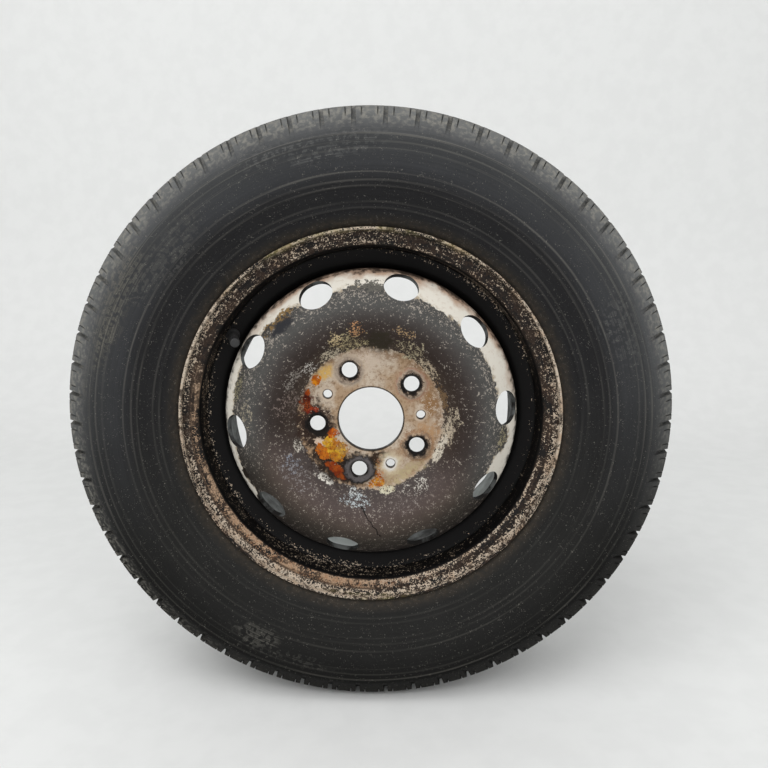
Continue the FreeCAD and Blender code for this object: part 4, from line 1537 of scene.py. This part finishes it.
    def hub(self, g: Graph, colour: Wire, cloud: Wire, grain: Wire, fine: Wire) -> Wire:
        """Puts the bare mounting area on a colour, with its frayed pale border and its dark specks.

        Args:
            g: The material's graph.
            colour: Colour so far.
            cloud: Coarse noise.
            grain: Middling noise.
            fine: Fine noise.

        Returns:
            The colour with the mounting area on it.
        """
        frayed = g.radius + (grain - 0.5) * 14.0
        bare = g.mix(cloud.above(0.4, 0.62), self.primer, self.pale)
        bare = g.mix(grain.above(0.46, 0.66) * 0.65, bare, self.worn)
        bare = g.mix(fine.chipped(0.2) * 0.6, bare, self.worn)
        bare = g.mix((grain * 0.5 + fine * 0.5).chipped(0.17), bare, self.soot)
        outside = (g.radius + (cloud - 0.5) * 16.0).above(68.0, 76.0)
        bare = g.mix(outside * grain.above(0.36, 0.56) * 0.75, bare, self.worn)
        border = frayed.above(76.5, 78.5) * g.arc(325.0, 60.0, 40.0) * fine.above(0.35, 0.55)
        bare = g.mix(border * 0.6, bare, self.pale)
        return g.mix(frayed.below(79.0, 80.5), colour, bare)

    def seats(self, g: Graph, colour: Wire, ragged: Wire, grain: Wire) -> Wire:
        """Puts the soot and the wear of the bolt seats, the pilot holes and the bore's edge on a colour.

        Args:
            g: The material's graph.
            colour: Colour so far.
            ragged: Noise that frays the rings.
            grain: Noise that crumbles them.

        Returns:
            The colour with the rings on it.
        """
        bolts, pilots = Disc.bolt_circle, Disc.pilot_circle
        first, second, third, fourth, fifth = (Disc.first + 72.0 * bolt for bolt in range(5))
        right, left, under = (Disc.first - 36.0 + 144.0 * hole for hole in range(3))
        pale, dark, grey = srgb(178, 162, 144), srgb(26, 22, 20), srgb(84, 80, 80)
        rings = [Patch.spot(angle, bolts, 18.2, tone, 0.75, 0.22, 0.14)
                 for angle, tone in ((first, srgb(146, 112, 92)), (second, pale),
                                     (fifth, srgb(136, 104, 78)))]
        rings += [Patch.spot(angle, bolts, 15.6, tone, 0.8, 0.2, 0.12)
                  for angle, tone in ((first, pale), (second, srgb(150, 136, 122)),
                                      (fifth, srgb(164, 142, 118)))]
        rings += [Patch.spot(angle, bolts, size, srgb(92, 76, 64), 0.7, 0.3, 0.2)
                  for angle, size in ((first, 14.2), (second, 12.6), (fifth, 15.0))]
        rings += [Patch.spot(angle, bolts, size, dark, 1.2, 0.24, 0.1)
                  for angle, size in ((first, 11.8), (second, 11.0), (third, 13.6), (fifth, 12.4))]
        rings += [Patch.spot(fourth, bolts, 18.4, dark, 1.2, 0.2, 0.12),
                  Patch.spot(fourth, bolts, 15.4, grey, 0.9, 0.25, 0.12),
                  Patch.spot(under, pilots, 12.0, srgb(184, 170, 144), 0.9, 0.4, 0.4),
                  Patch.spot(under, pilots, 8.0, srgb(200, 197, 190), 0.9, 0.3, 0.3),
                  Patch.spot(left, pilots, 8.0, pale, 0.9, 0.3, 0.3),
                  Patch.spot(right, pilots, 7.0, pale, 0.9, 0.3, 0.3)]
        rings += [Patch.spot(angle, bolts, 9.8, dark, 1.2, 0.16, 0.08)
                  for angle in (first, second, third, fourth, fifth)]
        rings += [Patch.spot(angle, pilots, 5.6, srgb(74, 62, 52), 1.2, 0.1, 0.1)
                  for angle in (right, left, under)]
        for ring in rings:
            colour = g.mix(g.patch(ring, ragged, grain), colour, ring.colour)
        return g.mix((g.radius + (grain - 0.5) * 1.6).below(36.6, 37.4) * 0.9, colour, self.soot)

    def material(self) -> bpy.types.Material:
        """Builds the material.

        Returns:
            The disc's material.
        """
        g = Graph("disc_paint")
        cloud, ragged = g.noise(22.0, 4.0), g.noise(7.0, 5.0, 0.62, 1.0)
        grain, fine = g.noise(4.2, 5.0, 0.66, 2.0), g.noise(1.6, 3.0, 0.6, 7.0)
        crumb = (grain * 0.5 + fine * 0.5 - 0.5) * 1.7 + 0.5
        # The upper and lower halves of the disc take the lit and shaded ramps: painted light and shade.
        low = g.arc(262.0, 66.0, 34.0)
        colour = g.mix(low, g.outwards(self.upper), g.outwards(self.lower))
        colour = g.shaded(colour, 0.28 + cloud * 0.46 + grain * 0.5 + fine * 0.42)
        specks = 0.14 + g.radius.above(124.0, 136.0) * (1.0 - low) * 0.2
        specks = specks + low * g.radius.below(112.0, 122.0) * 0.06
        chips = crumb.chipped(specks * (0.5 + cloud))
        colour = g.mix(chips * 0.75, colour, self.speck)

        frayed = g.radius + (ragged - 0.5) * 12.0 + (grain - 0.5) * 7.0 - g.around(self.ring, 200.0)
        paint = frayed.above(-0.6, 0.8) * g.y.below(-36.0, -28.0)
        stained = (g.radius + (cloud - 0.5) * 26.0).above(152.0, 161.0) * g.arc(78.0, 62.0, 50.0)
        coat = g.mix(stained, self.cream, self.blush)
        coat = g.mix(grain.above(0.54, 0.7) * 0.35, coat, self.blush)
        coat = g.mix(frayed.below(0.5, 4.0) * grain.above(0.42, 0.6) * 0.7, coat, self.edge)
        colour = g.mix(paint, colour, coat)
        # Dark past a ragged radius of about 160, partly dirt and partly painted shade, and the skirt inside
        # the rim darkened as painted shadow.
        grime_and_painted_shade = (g.radius + (ragged - 0.5) * 16.0 + (cloud - 0.5) * 10.0).above(158.0, 163.5)
        colour = g.mix(grime_and_painted_shade.most(g.y.above(-60.0, -46.0)) * 0.92, colour, self.soot)

        colour = self.hub(g, colour, cloud, grain, fine)
        for patch in self.flakes + self.stains:
            mask = g.patch(patch, ragged, crumb)
            colour = g.mix(mask, colour, g.shaded(patch.colour, 0.55 + grain * 0.5 + fine * 0.4))
            chips = chips.most(mask)
        ember = g.noise(9.0, 3.0, 0.5, 21.0).above(0.36, 0.62)
        cinder = g.noise(2.6, 4.0, 0.7, 23.0).above(0.5, 0.68)
        for patch in self.rust:
            mask = g.patch(patch, ragged, crumb)
            deep = (patch.colour[0] * 0.6, patch.colour[1] * 0.4, patch.colour[2] * 0.5, 1.0)
            bright = (patch.colour[0], patch.colour[1] * 1.1, patch.colour[2], 1.0)
            colour = g.mix(mask, colour, g.mix(cinder * 0.8, g.mix(ember, bright, deep), self.burnt))
            chips = chips.most(mask)
        colour = self.seats(g, colour, ragged, crumb)
        # Pale grey on the inside by angle: dust with painted light from behind the wheel.
        dusty = (g.around(self.dust) + (cloud - 0.5) * 0.8).above(0.1, 1.0)
        back = g.node("ShaderNodeAttribute", {"attribute_name": "inside"}, output="Fac")
        inside = g.mix(cloud.above(0.46, 0.66) * 0.16, g.shaded(self.dark, 0.5 + grain), self.grey)
        inside = g.mix(dusty * back.above(0.93, 0.99) * g.radius.above(140.0, 152.0), inside, self.grey)
        # The sheet's edges and inside take the inside colour; on the vent and hole walls its dark is painted
        # shade.
        colour = g.mix(back.above(0.04, 0.2), colour, inside)
        crack = g.stroke((263.0, 94.0), (275.0, 130.0), 1.1, (ragged - 0.5) * 9.0)
        colour = g.mix(crack, colour, self.soot)
        rough = 0.54 + chips * 0.25 + paint * 0.02 + cloud * 0.1
        height = paint * 0.4 + fine * 0.3 - crack * 0.6 - crumb * 0.4
        return g.finish(colour, rough, height=height, depth=0.28, shine=0.14)


@dataclass(frozen=True)
class PlainFinish:
    """A small piece's finish: one colour with fine mottling.

    Attributes:
        name: Name of the material.
        low: Darker colour.
        high: Lighter colour.
        rough: Roughness.
        metallic: Metallic share.
        grain: Size of the mottling, in millimetres.
    """

    name: str
    low: Colour
    high: Colour
    rough: float
    metallic: float = 0.0
    grain: float = 1.5

    def material(self) -> bpy.types.Material:
        """Builds the material."""
        g = Graph(self.name)
        mottle = g.noise(self.grain, 3.0)
        colour = g.mix(mottle.above(0.35, 0.65), self.low, self.high)
        return g.finish(colour, self.rough + (mottle - 0.5) * 0.2, self.metallic, height=mottle, depth=0.04)


# Stage

@dataclass
class Studio:
    """Pale floor and backdrop, soft lights and the camera.

    Attributes:
        ground: Level of the floor.
        reach: Where the floor starts and ends behind the camera and the wheel, and the backdrop's top.
        side: Half of the floor's width.
        bend: Radius of the bend between floor and backdrop.
        room: Strength of the room's even light.
        eye: Place of the camera.
        pitch: How far the camera looks down, in degrees.
        sensor: Width of the camera's sensor.
        focal: Focal length in pixels of the frame.
        frame_width: Width of the frame in pixels.
    """

    ground: float = Tyre.ground
    reach: Triple = (-6000.0, 1500.0, 6000.0)
    side: float = 9000.0
    bend: float = 600.0
    room: float = 0.55
    eye: Triple = (14.3, -894.0, 206.0)
    pitch: float = 11.48
    sensor: float = 36.0
    focal: float = 770.0
    frame_width: float = 768.0

    def build_floor(self) -> None:
        """Builds the floor, which bends up into the backdrop behind the wheel."""
        near, far, top = self.reach
        corners = [(near, self.ground, 0.0), (far, self.ground, self.bend), (far, top, 0.0)]
        section = rounded(corners, step_deg=5.0)
        across = np.array([-self.side, self.side])
        grid = np.stack(np.broadcast_arrays(across[:, None], section[:, 0], section[:, 1]), axis=-1) * MM
        work = Patchwork()
        work.add_grid(grid)
        floor = new_object("studio_floor", work.mesh("studio_floor", sharp_deg=30.0))
        paint = PlainFinish("floor_paint", srgb(228, 229, 228), srgb(231, 232, 231), 0.7, grain=40.0)
        dress(floor, paint.material())

    def build_light(self) -> None:
        """Lights the wheel with an even room and two large soft panels."""
        world = bpy.data.worlds.new("studio_room")
        bpy.context.scene.world = world
        world.use_nodes = True
        room = world.node_tree.nodes["Background"]
        room.inputs["Color"].default_value = (1.0, 1.0, 1.0, 1.0)
        room.inputs["Strength"].default_value = self.room
        panels = (("key_panel", (-0.9, -1.8, 2.2), 2.4, 60.0, (0.72, 0.0, -0.45)),
                  ("fill_panel", (1.6, -1.9, 1.2), 2.0, 20.0, (1.05, 0.0, 0.7)))
        for name, place, size, power, tilt in panels:
            lamp = bpy.data.lights.new(name, "AREA")
            lamp.energy = power
            lamp.size = size
            panel = new_object(name, lamp)
            panel.location = place
            panel.rotation_euler = tilt

    def build_camera(self) -> None:
        """Sets the camera at the photograph's angle."""
        data = bpy.data.cameras.new("photo_camera")
        data.sensor_width = self.sensor
        data.lens = self.sensor * self.focal / self.frame_width
        camera = new_object("photo_camera", data)
        camera.location = [axis * MM for axis in self.eye]
        camera.rotation_euler = (math.radians(90.0 - self.pitch), 0.0, 0.0)
        bpy.context.scene.camera = camera
        bpy.context.scene.view_settings.view_transform = "Standard"


def dress(piece: bpy.types.Object, material: bpy.types.Material) -> None:
    """Gives a piece one material all over."""
    piece.data.materials.clear()
    piece.data.materials.append(material)


def main() -> None:
    """Builds the wheel's pieces in order, dresses them and sets the stage."""
    logging.basicConfig(level=logging.INFO, format="%(name)s %(message)s")
    studio = Studio()
    studio.build_floor()
    studio.build_light()
    studio.build_camera()

    dress(Tyre().build(), TyreRubber().material())
    dress(Rim().build(), ChippedPaint().material())
    dress(Disc().build(), FlakedPaint().material())
    weld_paint = PlainFinish("weld_paint", srgb(34, 32, 31), srgb(60, 50, 44), 0.55)
    dress(Welds().build(), weld_paint.material())
    valve = Valve()
    rubber = PlainFinish("valve_rubber", srgb(24, 24, 24), srgb(40, 39, 38), 0.75)
    brass = PlainFinish("valve_brass", srgb(150, 118, 66), srgb(186, 152, 92), 0.35, 1.0, 0.8).material()
    dress(valve.build_stem(), rubber.material())
    dress(valve.build_barrel(), brass)
    plastic = PlainFinish("cap_plastic", srgb(26, 26, 27), srgb(44, 44, 44), 0.5, grain=0.8)
    dress(valve.build_cap(), plastic.material())
    for node in ("core_plug", "core_pin"):
        dress(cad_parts[node], brass)
    seal = PlainFinish("seal_rubber", srgb(22, 22, 22), srgb(36, 36, 36), 0.8, grain=0.6)
    dress(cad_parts["cap_seal"], seal.material())


if __name__ == "__main__":
    main()
